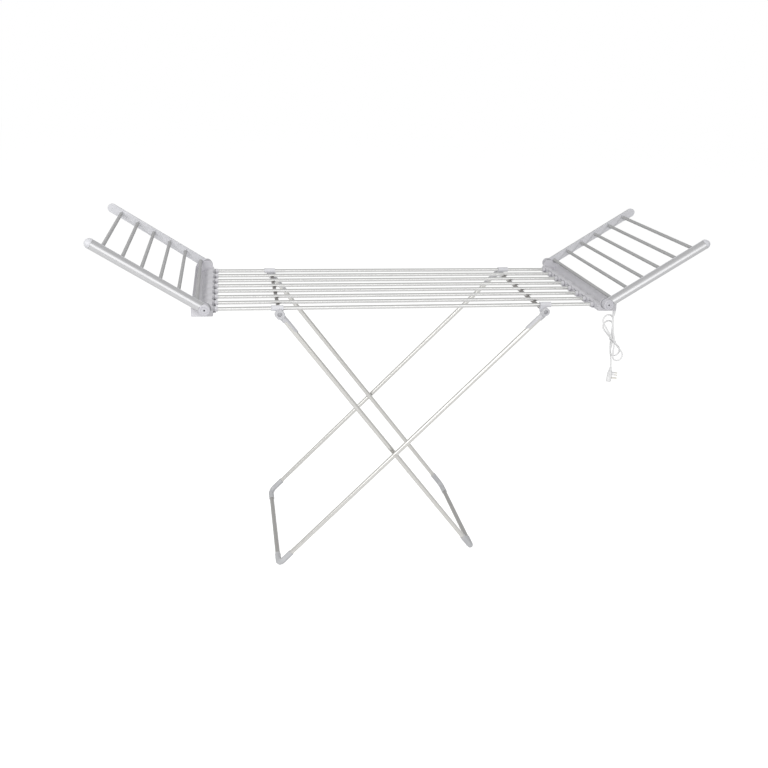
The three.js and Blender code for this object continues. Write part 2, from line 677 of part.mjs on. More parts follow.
function legFrame(name, top, foot, legOut, eyeStart, rivetSide) {
  const run = foot - top;
  const fall = pivotZ - footZ;
  const length = Math.hypot(run, fall);
  const frame = new THREE.Group();
  frame.position.set(top, 0, pivotZ);
  frame.rotation.y = Math.atan2(fall, run);
  frame.updateMatrix();
  airer.add(frame);
  const reach = elbowArm - elbowBend - socketFloor - seat;
  const tubeEnd = length - elbowArm + reach;
  for (const [place, side] of [['near', -1], ['far', 1]]) {
    let leg = tubeX(legRadius, legRadius - legWall, collarEnd + seat, tubeEnd).translate(0, side * legOut, 0);
    if (rivetSide) {
      const [inside, outside] = [innerLegY + legRadius + seat, legOut + legRadius];
      const rivet = rodY(rivetRadius, side * inside, side * (legOut - legRadius / 2), roundSides);
      const dome = [side * (legOut + legRadius / 2), side * (outside + rivetHead)];
      const domed = rodY(rivetRadius, ...dome, roundSides);
      const hollow = rodX(legRadius - legWall, collarEnd, tubeEnd + overrun).translate(0, side * legOut, 0);
      leg = join(leg, cut(join(rivet, domed).translate(crossing, 0, 0), hollow));
    }
    piece(`${name}_leg_${place}`, leg, 'steel', frame);
    piece(`${name}_knuckle_${place}`, knuckle(side, legOut, eyeStart, Math.sign(run)), 'plastic', frame);
    piece(`${name}_elbow_${place}`, elbow(side, legOut, length, frame.matrix), 'grey');
  }
  const footHalf = legOut - elbowArm + reach;
  const footTube = tubeY(legRadius, legRadius - legWall, -footHalf, footHalf);
  piece(`${name}_foot_tube`, footTube.translate(length, 0, 0), 'steel', frame);
}

// The legs cross where each is as far below its pivot as the other
const fallAll = pivotZ - footZ;
const innerSlope = (innerFoot - innerTop) / fallAll;
const outerSlope = (outerTop - outerFoot) / fallAll;
const crossFall = (outerTop - innerTop) / (innerSlope + outerSlope);
const crossing = crossFall * Math.hypot(1, outerSlope);

legFrame('inner', innerTop, innerFoot, innerLegY, innerEye, false);
legFrame('outer', outerTop, outerFoot, outerLegY, outerEye, true);

// Mains lead: down out of its gland, two turns of a tied figure of eight, then the plug.
// The route's points are chosen by hand, counted from the middle of the gland's foot.
const glandFoot = bottomZ - glandLength + housingWall;
const leadRoute = [[0, 0, -3.5], [0.7, 0, -18.5], [3.4, 0, -36.5], [7.6, 0, -54.5], [12.4, 0, -72.5]];
const waistPlace = [18, 0, -92];
const tailRoute = [
  [18.9, 29.2, -106], [21.1, 29.2, -122], [24, 28, -140], [26.8, 25.4, -158], [28.9, 23, -176],
];
const plugPlace = [30, 22, -190];
const fromGland = ([x, y, z]) => new THREE.Vector3(glandX + x, glandY + y, glandFoot + z);
const waist = fromGland(waistPlace);
const plugTop = fromGland(plugPlace);

// One loop, round a circle from its left run to its right one: down the near side of the waist, or up
function hankLoop(reach, order) {
  const up = order % 2 ? 1 : -1;
  const middle = reach - hankRound;
  const spread = Math.asin(hankRound / middle);
  const run = middle * Math.cos(spread);
  const sweep = Math.PI + 2 * spread;
  const whole = 2 * run + hankRound * sweep;
  const place = (away, aside, gone) => new THREE.Vector3(
    waist.x - up * away * Math.sin(hankLean) + aside * Math.cos(hankLean),
    waist.y + (order + gone / whole) * hankStep,
    waist.z + up * away * Math.cos(hankLean) + aside * Math.sin(hankLean),
  );
  const points = [];
  for (let k = 0; k < hankRunSteps; k += 1) {
    const gone = (run * k) / hankRunSteps;
    points.push(place(gone * Math.cos(spread), -gone * Math.sin(spread), gone));
  }
  for (let k = 0; k <= hankRoundSteps; k += 1) {
    const turn = (k / hankRoundSteps - 0.5) * sweep;
    const gone = run + (sweep * hankRound * k) / hankRoundSteps;
    points.push(place(middle + hankRound * Math.cos(turn), hankRound * Math.sin(turn), gone));
  }
  for (let k = 1; k < hankRunSteps; k += 1) {
    const left = run * (1 - k / hankRunSteps);
    points.push(place(left * Math.cos(spread), left * Math.sin(spread), whole - left));
  }
  return points;
}

const hankPoints = hankReaches.flatMap(hankLoop);
const hankBehind = hankReaches.length * hankStep;
hankPoints.push(new THREE.Vector3(waist.x, waist.y + hankBehind, waist.z));
const heading = hankPoints[1].clone().sub(hankPoints[0]).normalize();
const leadTop = new THREE.Vector3(glandX, glandY, glandFoot + glandLength / 2 - seat);
const leadEnd = waist.clone().addScaledVector(heading, -seat * 1.5);
const leadNear = leadEnd.clone().addScaledVector(heading, -cordRadius * 2);
const leadLine = new THREE.CatmullRomCurve3([leadTop, ...leadRoute.map(fromGland), leadNear, leadEnd]);
const hankLine = new THREE.CatmullRomCurve3([...hankPoints, ...tailRoute.map(fromGland), plugTop]);
piece('mains_cord', tubeAlong(leadLine, cordRadius, cordSides, leadSteps), 'cord');
const hankTubeSteps = hankPoints.length + tailRoute.length * 2;
piece('mains_cord_hank', tubeAlong(hankLine, cordRadius, hankSides, hankTubeSteps), 'cord');

// The least gap between two stretches of the hank that aren't neighbours along it
const line = hankLine.getSpacedPoints(hankPoints.length * probeSteps);
const apart = Math.ceil((neighbourReach * line.length) / hankLine.getLength());
let least = Infinity;
for (let a = 0; a < line.length; a += 1) {
  for (let b = a + apart; b < line.length; b += 1) least = Math.min(least, line[a].distanceTo(line[b]));
}
console.log(`hank: least gap to itself ${(least - cordRadius * 2).toFixed(2)} mm`);
let tightest = Infinity;
for (let k = 1; k < line.length - 1; k += 1) {
  const [back, on] = [line[k].clone().sub(line[k - 1]), line[k + 1].clone().sub(line[k])];
  const step = (back.length() + on.length()) / 2;
  tightest = Math.min(tightest, step / Math.max(back.angleTo(on), degree / overrun));
}
console.log(`hank: tightest bend ${tightest.toFixed(1)} mm`);
console.log(`lead: ${(leadLine.getLength() + hankLine.getLength()).toFixed(0)} mm from gland to plug`);

// Moulded three-pin plug, hanging by its lead with its pins to the right
function plug() {
  const [w, h, t, r] = [plugWidth / 2, plugHeight, plugThickness, plugWidth / 5];
  const outline = new THREE.Shape();
  const [neckHalf, shoulder] = [w * plugNeckShare, -h * plugShoulderShare];
  outline.moveTo(-neckHalf, 0).lineTo(neckHalf, 0).lineTo(w, shoulder);
  outline.lineTo(w, r - h).absarc(w - r, r - h, r, 0, -Math.PI / 2, true);
  outline.lineTo(r - w, -h).absarc(r - w, r - h, r, -Math.PI / 2, -Math.PI, true);
  outline.lineTo(-w, shoulder);
  const bevel = t / 6;
  const body = new THREE.ExtrudeGeometry(outline, {
    depth: t - 2 * bevel,
    bevelThickness: bevel,
    bevelSize: bevel,
    bevelOffset: -bevel,
    bevelSegments: plugBevelSteps,
    curveSegments: cornerSteps,
  });
  body.translate(0, 0, bevel).rotateX(Math.PI / 2).rotateZ(Math.PI / 2);
  const neck = new THREE.CylinderGeometry(cordRadius * 1.5, cordRadius * 2, h / 3, roundSides);
  neck.rotateX(Math.PI / 2);
  const parts = [body.translate(-t / 2, 0, -h / 6), neck];
  const pinX = [t / 2 - bevel, t / 2 + pinLength];
  const pinRow = -h * pinRowShare;
  for (const side of [-1, 1]) {
    const middle = side * plugPinSpread;
    const pinY = [middle - pinWide / 2, middle + pinWide / 2];
    parts.push(block(pinX, pinY, [pinRow - pinThick / 2, pinRow + pinThick / 2]));
  }
  const earth = pinRow - earthPinRise;
  parts.push(block(pinX, [-pinThick / 2, pinThick / 2], [earth - pinWide / 2, earth + pinWide / 2]));
  return join(...parts);
}

const hanging = piece('mains_plug', plug(), 'cord');
hanging.rotation.z = plugTurn;
hanging.position.set(plugTop.x, plugTop.y, plugTop.z - plugHeight / 6 - seat);

export default airer;
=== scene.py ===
"""A heated winged clothes airer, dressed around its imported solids: camera and studio first, then the
lead, the deck, the end housings, the wings, the leg brackets and the legs. Metres in Blender; each
shape is worked out in millimetres and turned to metres when its mesh is made."""

import math

import bmesh
import bpy
import numpy as np
from mathutils import Matrix, Vector


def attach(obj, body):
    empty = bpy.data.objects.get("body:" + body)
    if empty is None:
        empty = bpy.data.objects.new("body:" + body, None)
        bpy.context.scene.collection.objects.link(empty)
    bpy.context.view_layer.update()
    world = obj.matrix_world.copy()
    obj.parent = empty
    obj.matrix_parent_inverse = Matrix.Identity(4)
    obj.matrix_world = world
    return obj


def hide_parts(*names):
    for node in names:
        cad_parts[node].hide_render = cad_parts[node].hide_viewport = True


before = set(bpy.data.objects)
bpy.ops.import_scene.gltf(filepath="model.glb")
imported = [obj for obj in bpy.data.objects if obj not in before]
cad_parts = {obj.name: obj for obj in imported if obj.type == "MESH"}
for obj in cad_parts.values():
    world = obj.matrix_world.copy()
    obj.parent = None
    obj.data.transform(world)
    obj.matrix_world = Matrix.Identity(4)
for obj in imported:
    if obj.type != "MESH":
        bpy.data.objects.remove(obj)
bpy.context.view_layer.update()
scene = bpy.context.scene
scene.view_settings.view_transform = "Standard"

# Camera
# Fitted to sixty points of the photograph: 0.56 m left of the middle, 2.6 m in front, 1.66 m up.
camera_place = Vector((-0.556291, -2.612553, 1.659868))
camera_yaw, camera_pitch, camera_roll = (math.radians(a) for a in (11.3316, -22.4287, 2.6263))
sensor_mm, lens_mm = 36.0, 38.2994
forward = Vector((math.sin(camera_yaw) * math.cos(camera_pitch),
                  math.cos(camera_yaw) * math.cos(camera_pitch), math.sin(camera_pitch)))
level = Vector((math.cos(camera_yaw), -math.sin(camera_yaw), 0))
upward = level.cross(forward)
right = math.cos(camera_roll) * level + math.sin(camera_roll) * upward
upright = math.cos(camera_roll) * upward - math.sin(camera_roll) * level
camera = bpy.data.objects.new("camera", bpy.data.cameras.new("camera"))
camera.data.sensor_width, camera.data.lens = sensor_mm, lens_mm
camera.data.clip_end = 60
camera_turn = Matrix((right, upright, -forward)).transposed().to_4x4()
camera.matrix_world = Matrix.Translation(camera_place) @ camera_turn
scene.collection.objects.link(camera)
scene.camera = camera

# Studio floor and white surround
# A pale matte floor. The camera sees it nearly white, with the airer's soft shadow left on it.
floor_half, floor_colour, floor_glow = 14.0, "#e4e4e4", 0.78


def hexc(code, alpha=1.0):
    """An sRGB hex colour as linear red, green, blue and alpha."""
    parts = np.array([int(code[k:k + 2], 16) for k in (1, 3, 5)]) / 255
    linear = np.where(parts <= 0.04045, parts / 12.92, ((parts + 0.055) / 1.055) ** 2.4)
    return (*linear.tolist(), alpha)


def add(tree, kind, settings=None, **links):
    """A node of that kind with its settings. Links and values go by their socket's name, _ for a space."""
    node = tree.nodes.new("ShaderNode" + kind)
    for key, value in (settings or {}).items():
        if isinstance(key, str) and hasattr(node, key):
            setattr(node, key, value)
        else:
            node.inputs[key].default_value = value
    for key, value in links.items():
        socket = node.inputs[int(key[1:])] if key[1:].isdigit() else node.inputs[key.replace("_", " ")]
        if hasattr(value, "links"):
            tree.links.new(value, socket)
        else:
            socket.default_value = value
    return node


def blank(name):
    """An empty node material and its tree, with only the output node."""
    material = bpy.data.materials.new(name)
    material.use_nodes = True
    material.node_tree.nodes.clear()
    return material, material.node_tree


def seen_by(tree, first, *others):
    """One for rays of any of those kinds, and zero for all others."""
    path = add(tree, "LightPath")
    share = path.outputs[f"Is {first} Ray"]
    for kind in others:
        either = add(tree, "Math", {"operation": "MAXIMUM"}, _0=share, _1=path.outputs[f"Is {kind} Ray"])
        share = either.outputs[0]
    return share


floor_paint, tree = blank("studio_floor")
lit = add(tree, "BsdfDiffuse", Color=hexc(floor_colour))
glow = add(tree, "Emission", Color=(1, 1, 1, 1), Strength=floor_glow)
both = add(tree, "AddShader", _0=lit.outputs[0], _1=glow.outputs[0])
mixed = add(tree, "MixShader", Fac=seen_by(tree, "Camera", "Glossy"), _1=lit.outputs[0],
            _2=both.outputs[0])
add(tree, "OutputMaterial", Surface=mixed.outputs[0])
floor_mesh = bpy.data.meshes.new("floor")
corners = [(x * floor_half, y * floor_half, 0) for x, y in ((-1, -1), (1, -1), (1, 1), (-1, 1))]
floor_mesh.from_pydata(corners, [], [(0, 1, 2, 3)])
floor_mesh.materials.append(floor_paint)
# The floor's glow is for the camera and for gloss alone, so it is not sampled as a lamp.
floor_paint.cycles.emission_sampling = "NONE"
floor = bpy.data.objects.new("floor", floor_mesh)
scene.collection.objects.link(floor)

# The surround is white to the camera and to gloss, and a weak fill to everything else.
world_fill = 0.28
world = bpy.data.worlds.new("studio")
world.use_nodes = True
scene.world = world
tree = world.node_tree
tree.nodes.clear()
fill = add(tree, "Background", Color=(1, 1, 1, 1), Strength=world_fill)
white = add(tree, "Background", Color=(1, 1, 1, 1), Strength=1.0)
mixed = add(tree, "MixShader", Fac=seen_by(tree, "Camera", "Glossy", "Transmission"), _1=fill.outputs[0],
            _2=white.outputs[0])
add(tree, "OutputWorld", Surface=mixed.outputs[0])


def softbox(name, place, aim, width, height, power, gloss=True):
    """An area lamp that looks from its place at its aim. Without gloss, no metal mirrors it."""
    lamp = bpy.data.lights.new(name, "AREA")
    lamp.shape, lamp.size, lamp.size_y, lamp.energy = "RECTANGLE", width, height, power
    lamp.color = (1, 1, 1)
    box = bpy.data.objects.new(name, lamp)
    box.location = place
    box.rotation_euler = (Vector(aim) - Vector(place)).to_track_quat("-Z", "Y").to_euler()
    box.visible_glossy = gloss
    scene.collection.objects.link(box)


# Broad lamps: two that the metal mirrors as soft bands, and one overhead that only lights.
softbox("softbox_front", (0.45, -3.0, 2.0), (0.1, 0, 0.8), 3.4, 2.4, 40)
softbox("softbox_left", (-2.1, -1.9, 2.4), (-0.2, 0, 0.8), 2.2, 2.2, 46)
softbox("softbox_top", (0, 0.3, 3.4), (0, 0, 0.9), 3.0, 2.0, 12, False)

# Mains lead
# White PVC-sheathed round flex, 5.2 mm, moulded onto its plug: straight down out of the gland, two
# turns of a figure of eight for storage, and a hanging tail. Its soft sheath shines faintly.
MM = 0.001
cord_radius = 2.6
gland_foot = np.array([670.0, -246.5, 881.5])
lead_route = [[0, 0, 2.5], [0, 0, -3.5], [0.7, 0, -18.5], [3.4, 0, -36.5], [7.6, 0, -54.5], [12.4, 0, -72.5]]
waist = gland_foot + np.array([18.0, 0, -92.0])
tail_route = [[18.9, 29.2, -106], [21.1, 29.2, -122], [24, 28, -140],
              [26.8, 25.4, -158], [28.9, 23, -176], [30, 22, -190]]
hank_reaches, hank_round, hank_step, hank_lean = (72, 97, 58, 70), 18.0, 7.2, math.radians(22)
run_steps, round_steps = 8, 24
cord_sides, cord_fine = 20, 5


def corner_arc(a, corner, b, s):
    """The quadratic arc from a to b that sets out toward the corner and arrives straight away from it."""
    return (1 - s) ** 2 * a + 2 * s * (1 - s) * corner + s ** 2 * b


def rounded(corners, radii, steps=4, keep=0.12):
    """A line with each corner rounded by a quadratic arc. A point kept just before and
    after each arc holds the flats flat."""
    line = [np.array(c, float) for c in corners]
    out = [line[0]]
    for before, here, after, r in zip(line, line[1:], line[2:], radii):
        back, on = before - here, after - here
        reach = [np.linalg.norm(back), np.linalg.norm(on)]
        back, on = back / reach[0], on / reach[1]
        r = min(r, 0.45 * min(reach))
        if r <= 0:
            out.append(here)
            continue
        a, b = here + back * r, here + on * r
        s = np.linspace(0, 1, steps + 1)[:, None]
        out.append(a + back * min(keep, r / 2))
        out.extend(corner_arc(a, here, b, s))
        out.append(b + on * min(keep, r / 2))
    out.append(line[-1])
    return np.array(out)


def smooth_line(points, fine):
    """A Catmull-Rom line through the points, with so many steps between each two."""
    p = np.array(points, float)
    p = np.vstack([2 * p[0] - p[1], p, 2 * p[-1] - p[-2]])
    s = (np.arange(fine) / fine)[None, :, None]
    a, b, c, d = (p[k:len(p) - 3 + k, None] for k in range(4))
    line = 0.5 * (2 * b + (c - a) * s + (2 * a - 5 * b + 4 * c - d) * s ** 2
                  + (3 * b - a - 3 * c + d) * s ** 3)
    return np.vstack([line.reshape(-1, 3), p[-2]])


def along(line, reference):
    """At each point of a line: two directions across it, the first one square to the reference too."""
    heading = np.gradient(line, axis=0)
    heading /= np.linalg.norm(heading, axis=1)[:, None]
    first = np.cross(heading, reference)
    first /= np.linalg.norm(first, axis=1)[:, None]
    return first, np.cross(heading, first)


def around(sides):
    """Even turns round a circle, as many as it has sides."""
    return np.linspace(0, 2 * np.pi, sides, endpoint=False)


def swept(line, reference, radii, sides):
    """A round section carried along a line: each row is the line's point plus its radius times cos and sin
    of the turn along the two directions across it."""
    turn = around(sides)
    first, second = along(line, reference)
    radii = np.broadcast_to(np.asarray(radii, float), len(line))[:, None, None]
    ring = np.cos(turn)[None, :, None] * first[:, None] + np.sin(turn)[None, :, None] * second[:, None]
    return line[:, None] + radii * ring


def faces_of(rows, columns, wrap):
    """Four-cornered faces of a grid that closes round its columns, and round its rows where wrap says so."""
    i = np.arange(rows if wrap else rows - 1)[:, None]
    j = np.arange(columns)[None, :]
    down, across = (i + 1) % rows, (j + 1) % columns
    four = [i * columns + j, i * columns + across, down * columns + across, down * columns + j]
    return np.stack(four, -1).reshape(-1, 4)


def make(name, grids, finish, body, replaced=(), crease=32):
    """One piece from one or more grids of points, each closed round its columns. A grid given with True
    closes round its rows too. Open ends are capped. Each face keeps how far round and along it is as a UV."""
    places, faces, where, count = [], [], [], 0
    for grid in grids:
        grid, wrap = grid if isinstance(grid, tuple) else (grid, False)
        rows, columns = grid.shape[:2]
        quads = faces_of(rows, columns, wrap)
        onward = np.linalg.norm(np.roll(grid, -1, 0) - grid, axis=2).mean(1)
        v = np.concatenate([[0], np.cumsum(onward)])
        u = np.linspace(0, np.linalg.norm(np.roll(grid, -1, 1) - grid, axis=2).sum(1).max(), columns + 1)
        i, j = np.divmod(np.arange(len(quads)), columns)
        where.append(np.stack([u[[j, j + 1, j + 1, j]].T, v[[i, i, i + 1, i + 1]].T], -1).reshape(-1, 2))
        faces += (quads + count).tolist()
        if not wrap:
            for first in (0, rows - 1):
                faces.append((np.arange(columns) + first * columns + count).tolist())
                where.append(np.zeros((columns, 2)))
        places.append(grid.reshape(-1, 3))
        count += rows * columns
    mesh = bpy.data.meshes.new(name)
    mesh.from_pydata((np.vstack(places) * MM).tolist(), [], faces)
    layer = mesh.uv_layers.new(name="around_along")
    layer.data.foreach_set("uv", (np.vstack(where) * MM).astype(np.float32).ravel())
    work = bmesh.new()
    work.from_mesh(mesh)
    bmesh.ops.remove_doubles(work, verts=work.verts, dist=2e-6)
    bmesh.ops.dissolve_degenerate(work, edges=work.edges, dist=1e-6)
    bmesh.ops.recalc_face_normals(work, faces=work.faces)
    work.to_mesh(mesh)
    work.free()
    mesh.shade_smooth()
    mesh.set_sharp_from_angle(angle=math.radians(crease))
    mesh.materials.append(finish)
    piece = bpy.data.objects.new(name, mesh)
    scene.collection.objects.link(piece)
    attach(piece, body)
    if replaced:
        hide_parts(*replaced)
    return piece


broad_times, rough_spread = 22, 0.05


def clad(material, tree, colours, patches, tint_ends, grain, rough_ends, bump, settings):
    """Finishes a material: the patches mix its two colours, and the grain spreads its roughness and lifts
    its surface by bump millimetres. Ends are a noise's least and most, and the two values they turn into."""
    ends = ("From Min", "From Max", "To Min", "To Max")
    amount = add(tree, "MapRange", dict(zip(ends, tint_ends)), Value=patches)
    tint = add(tree, "Mix", {"data_type": "RGBA"}, Factor=amount.outputs[0])
    tint.inputs[6].default_value, tint.inputs[7].default_value = (hexc(code) for code in colours)
    spread = add(tree, "MapRange", dict(zip(ends, rough_ends)), Value=grain)
    lift = add(tree, "Bump", {"Strength": 1.0, "Distance": bump * MM}, Height=grain)
    body = add(tree, "BsdfPrincipled", settings, Base_Color=tint.outputs[2], Roughness=spread.outputs[0],
               Normal=lift.outputs[0])
    add(tree, "OutputMaterial", Surface=body.outputs[0])
    return material


def grainy(name, colour, shade, grain_mm, roughness, bump, metallic=0.0, ior=1.5, contrast=0.5, coat=0.0):
    """A surface with an even fine grain from noise of that grain in object space. Its two colours mix in
    patches broad_times as wide."""
    material, tree = blank(name)
    place = add(tree, "TexCoord").outputs["Object"]
    scale = 1 / (grain_mm * MM)
    fine = add(tree, "TexNoise", {"Scale": scale, "Detail": 3.0, "Roughness": 0.55}, Vector=place)
    broad = add(tree, "TexNoise", {"Scale": scale / broad_times, "Detail": 2.0}, Vector=place)
    return clad(material, tree, (colour, shade), broad.outputs["Fac"], (0.35, 0.65, 0.0, contrast),
                fine.outputs["Fac"], (0.0, 1.0, roughness - rough_spread, roughness + rough_spread),
                bump, {"Metallic": metallic, "IOR": ior, "Coat Weight": coat, "Coat Roughness": 0.12})


# Soft PVC: a faint shine and a slight unevenness a few millimetres wide from the extruder.
pvc_sheath = grainy("white_pvc_sheath", "#f4f4f4", "#ebebec", 1.6, 0.42, 0.04)


def hank_loop(reach, order):
    """One loop of the hank, down or up from the waist: out along a tangent, round a circle and back along the
    other tangent, while it moves back by one step of the waist."""
    up = 1 if order % 2 else -1
    middle = reach - hank_round
    spread = math.asin(hank_round / middle)
    run, sweep = middle * math.cos(spread), math.pi + 2 * spread
    whole = 2 * run + hank_round * sweep
    out, back = run * np.arange(run_steps) / run_steps, run * (1 - np.arange(1, run_steps) / run_steps)
    turn = (np.arange(round_steps + 1) / round_steps - 0.5) * sweep
    away = np.concatenate([out * math.cos(spread), middle + hank_round * np.cos(turn),
                           back * math.cos(spread)])
    aside = np.concatenate([-out * math.sin(spread), hank_round * np.sin(turn), back * math.sin(spread)])
    gone = np.concatenate([out, run + hank_round * (turn + sweep / 2), whole - back])
    c, s = math.cos(hank_lean), math.sin(hank_lean)
    behind = (order + gone / whole) * hank_step
    return waist + np.stack([aside * c - up * away * s, behind, up * away * c + aside * s], 1)


hank = np.vstack([hank_loop(reach, order) for order, reach in enumerate(hank_reaches)])
hank_end = waist + [0, len(hank_reaches) * hank_step, 0]
lead_line = np.vstack([smooth_line([*(gland_foot + np.array(lead_route)), hank[0]], cord_fine)[:-1], hank,
                       smooth_line([hank_end, *(gland_foot + np.array(tail_route))], cord_fine)])
for _ in range(4):
    lead_line[1:-1] = (lead_line[:-2] + 2 * lead_line[1:-1] + lead_line[2:]) / 4
lead = make("lead", [swept(lead_line, np.array([0, 1.0, 0]), cord_radius, cord_sides)], pvc_sheath,
            "deck", ["mains_cord", "mains_cord_hank"])

# Tie round the hank
# A flat twist tie with a dull, even plastic coat, wrapped once round the crossed strands and twisted
# at the front.
tie_half, tie_high = np.array([4.3, 18.9]), 2.0
tie_middle = waist + np.array([0, 2 * hank_step, 0])


def squared(wave, power):
    """A cosine or sine to that power under its own sign: the lower the power, the squarer the circle."""
    return np.sign(wave) * np.abs(wave) ** power


turn = around(72)
oval = np.stack([squared(np.cos(turn), 0.55), squared(np.sin(turn), 0.55)], 1) * tie_half
oval_out = oval / np.linalg.norm(oval, axis=1)[:, None]
band_line = rounded([[0, 0], [0, tie_high], [1, tie_high], [1, -tie_high], [0, -tie_high], [0, 0]],
                    [0.4] * 4, 3)[:-1]
band_x, band_y = np.moveaxis(oval[:, None] + band_line[None, :, :1] * oval_out[:, None], -1, 0)
band_z = np.broadcast_to(band_line[:, 1], band_x.shape)
c, s = math.cos(hank_lean), math.sin(hank_lean)
band = tie_middle + np.stack([band_x * c - band_z * s, band_y, band_x * s + band_z * c], -1)
tail = smooth_line([[0, 0, 0], [-1, -4, -2], [0.5, -8, -5], [-0.5, -12, -9]], 5)
tail = tail + tie_middle - [0, tie_half[1], 0]
twist = swept(tail, np.array([1.0, 0, 0]), 0.9 + 0.22 * np.sin(np.arange(len(tail)) * 1.9), 10)
tie = make("hank_tie", [(band, True), twist], grainy("tie_plastic", "#e6e6e7", "#dadadc", 1.2, 0.45, 0.03),
           "deck")

# Plug
# One-piece moulded three-pin plug, glossy PVC, with finger ridges on its sides and a bend relief
# on top. It hangs by its lead with the pins to the right.
plug_top = gland_foot + np.array(tail_route[-1]) + np.array([0, 0, -0.3])
plug_height, plug_half_thick, plug_neck = 36.0, 8.5, 12.0
plug_turn = math.radians(-28)


def hung(grid):
    """Carries a grid from the plug's own frame, Z up from its top and X to its pins, to where it hangs."""
    c, s = math.cos(plug_turn), math.sin(plug_turn)
    x, y, z = np.moveaxis(grid, -1, 0)
    return plug_top + np.stack([x * c - y * s, x * s + y * c, z], -1)


def block(low, high, radius=0.6):
    """A box with rounded edges: four-sided rows whose size grows from the ends over the radius."""
    low, high = np.array(low, float), np.array(high, float)
    middle, half = (low + high) / 2, (high - low) / 2
    turn = around(24) + np.pi / 24
    ring = np.stack([np.cos(turn), np.sin(turn)], 1)
    ring = squared(ring, 0.22)
    ring /= np.abs(ring).max(0)
    rows = rounded([[0, -half[2]], [1, -half[2]], [1, half[2]], [0, half[2]]], [radius, radius], 4)
    grid = np.empty((len(rows), len(ring), 3))
    scale = np.clip(rows[:, :1], 0, 1)
    for axis in (0, 1):
        grid[..., axis] = middle[axis] + ring[None, :, axis] * (half[axis] * scale)
    grid[..., 2] = middle[2] + rows[:, 1:]
    return grid


def plug_body():
    """Rows from the shoulders down: a superellipse whose half width and half thickness follow tables of
    height, with ridges cut in its sides by a cosine."""
    z = np.concatenate([[0], np.linspace(0.1, plug_height - 2, 46),
                        plug_height - 1 + np.array([0, 0.4, 0.8, 1.0])])
    w = np.interp(z, [0, 3, 12, 17, 33, 35.3, 36], [9.4, 11.4, 19.4, 20.6, 20.8, 19.4, 16])
    t = np.interp(z, [0, 4, 10, 33, 35.3, 36], [5.4, 6.8, 8.2, 8.4, 7.2, 5])
    w = w - 0.45 * (1 - np.cos((z - 12) * 2 * np.pi / 3.4)) * ((z > 12) & (z < 22.2))
    w[0], t[0] = w[0] - 1.2, t[0] - 1.2
    turn = around(64)
    x, y = t[:, None] * squared(np.cos(turn), 0.5), w[:, None] * squared(np.sin(turn), 0.5)
    return hung(np.stack([x, y, np.broadcast_to(-z[:, None] - plug_neck, x.shape)], -1))


def ribbed(start, height, thin, ribs, sides):
    """A bend relief that rises or hangs from its start. It widens by 1.6, less the ribs cut at each row."""
    share = np.linspace(0, 1, len(ribs))
    line = start + np.stack([0 * share, 0 * share, height * share], 1)
    return swept(line, np.array([0, 1.0, 0]), thin + 1.6 * share - ribs, sides)


relief_ribs = 0.45 * (np.sin(np.linspace(0, 1, 40) * 2 * np.pi * 4) > 0.35)
relief = ribbed(plug_top, -(plug_neck + 1.5), 3.7, relief_ribs, 28)
plug_moulding = grainy("plug_moulding", "#f2f2f2", "#e9e9ea", 1.5, 0.3, 0.03, coat=0.15)
plug = make("plug", [plug_body(), relief], plug_moulding, "deck", ["mains_plug"])

# Plug pins
# Three flat pins of nickel-plated brass, bright and faintly warm. The two nearer the lead have a
# plastic sleeve moulded on their first half.
pin_start, pin_end, pin_row, earth_row = plug_half_thick - 1, plug_half_thick + 17, -22.2, -37.2
pins, sleeves = [], []
for middle in (-11, 11):
    pins.append(block([pin_start, middle - 3.1, pin_row - 1.9], [pin_end, middle + 3.1, pin_row + 1.9]))
    sleeves.append(block([pin_start, middle - 3.2, pin_row - 2], [pin_start + 9, middle + 3.2, pin_row + 2]))
pins.append(block([pin_start, -2, earth_row - 3.2], [pin_end, 2, earth_row + 3.2]))
nickel_plate = grainy("nickel_plate", "#c9c7c2", "#bdbab4", 0.8, 0.25, 0.004, 1.0)
plug_pins = make("plug_pins", [hung(g) for g in pins], nickel_plate, "deck")
plug_sleeves = make("plug_pin_sleeves", [hung(g) for g in sleeves], pvc_sheath, "deck")

# Deck tubes
# Eight drawn aluminium tubes, 12 mm, satin anodised after drawing: fine streaks run along each one
# and a bright line shows where it faces the light.
deck_z, bar_radius, bar_wall, bar_half, bar_pitch = 913.0, 6.0, 1.0, 613.5, 63.0


def drawn(name, colour, shade, streak_mm, roughness, bump, metallic=1.0, length_times=90, contrast=0.45):
    """Metal with streaks along its length, from noise on the UV that is squeezed round the piece and
    stretched along it by length_times."""
    material, tree = blank(name)
    place = add(tree, "UVMap", {"uv_map": "around_along"})
    width = streak_mm * MM
    squeeze = add(tree, "Mapping", {"Scale": (1 / width, 1 / (width * length_times), 1)},
                  Vector=place.outputs[0])
    noise = add(tree, "TexNoise", {"Scale": 1.0, "Detail": 4.0, "Roughness": 0.6}, Vector=squeeze.outputs[0])
    streak = noise.outputs["Fac"]
    return clad(material, tree, (colour, shade), streak, (0.3, 0.7, 0.0, contrast),
                streak, (0.3, 0.7, roughness - 0.05, roughness + 0.06), bump, {"Metallic": metallic})


def placed(grid, middle, onto):
    """A grid worked out along Z, turned so that Z points along onto, and moved to its middle."""
    turn = Vector((0, 0, 1)).rotation_difference(Vector(onto)).to_matrix()
    return grid @ np.array(turn).T + np.array(middle, float)


def turned(profile, sides):
    """A profile of radius and height spun about Z. Each row is one point of the profile."""
    turn = around(sides)
    r, h = np.asarray(profile, float).T
    return np.stack([r[:, None] * np.cos(turn), r[:, None] * np.sin(turn), h[:, None] + 0 * turn], -1)


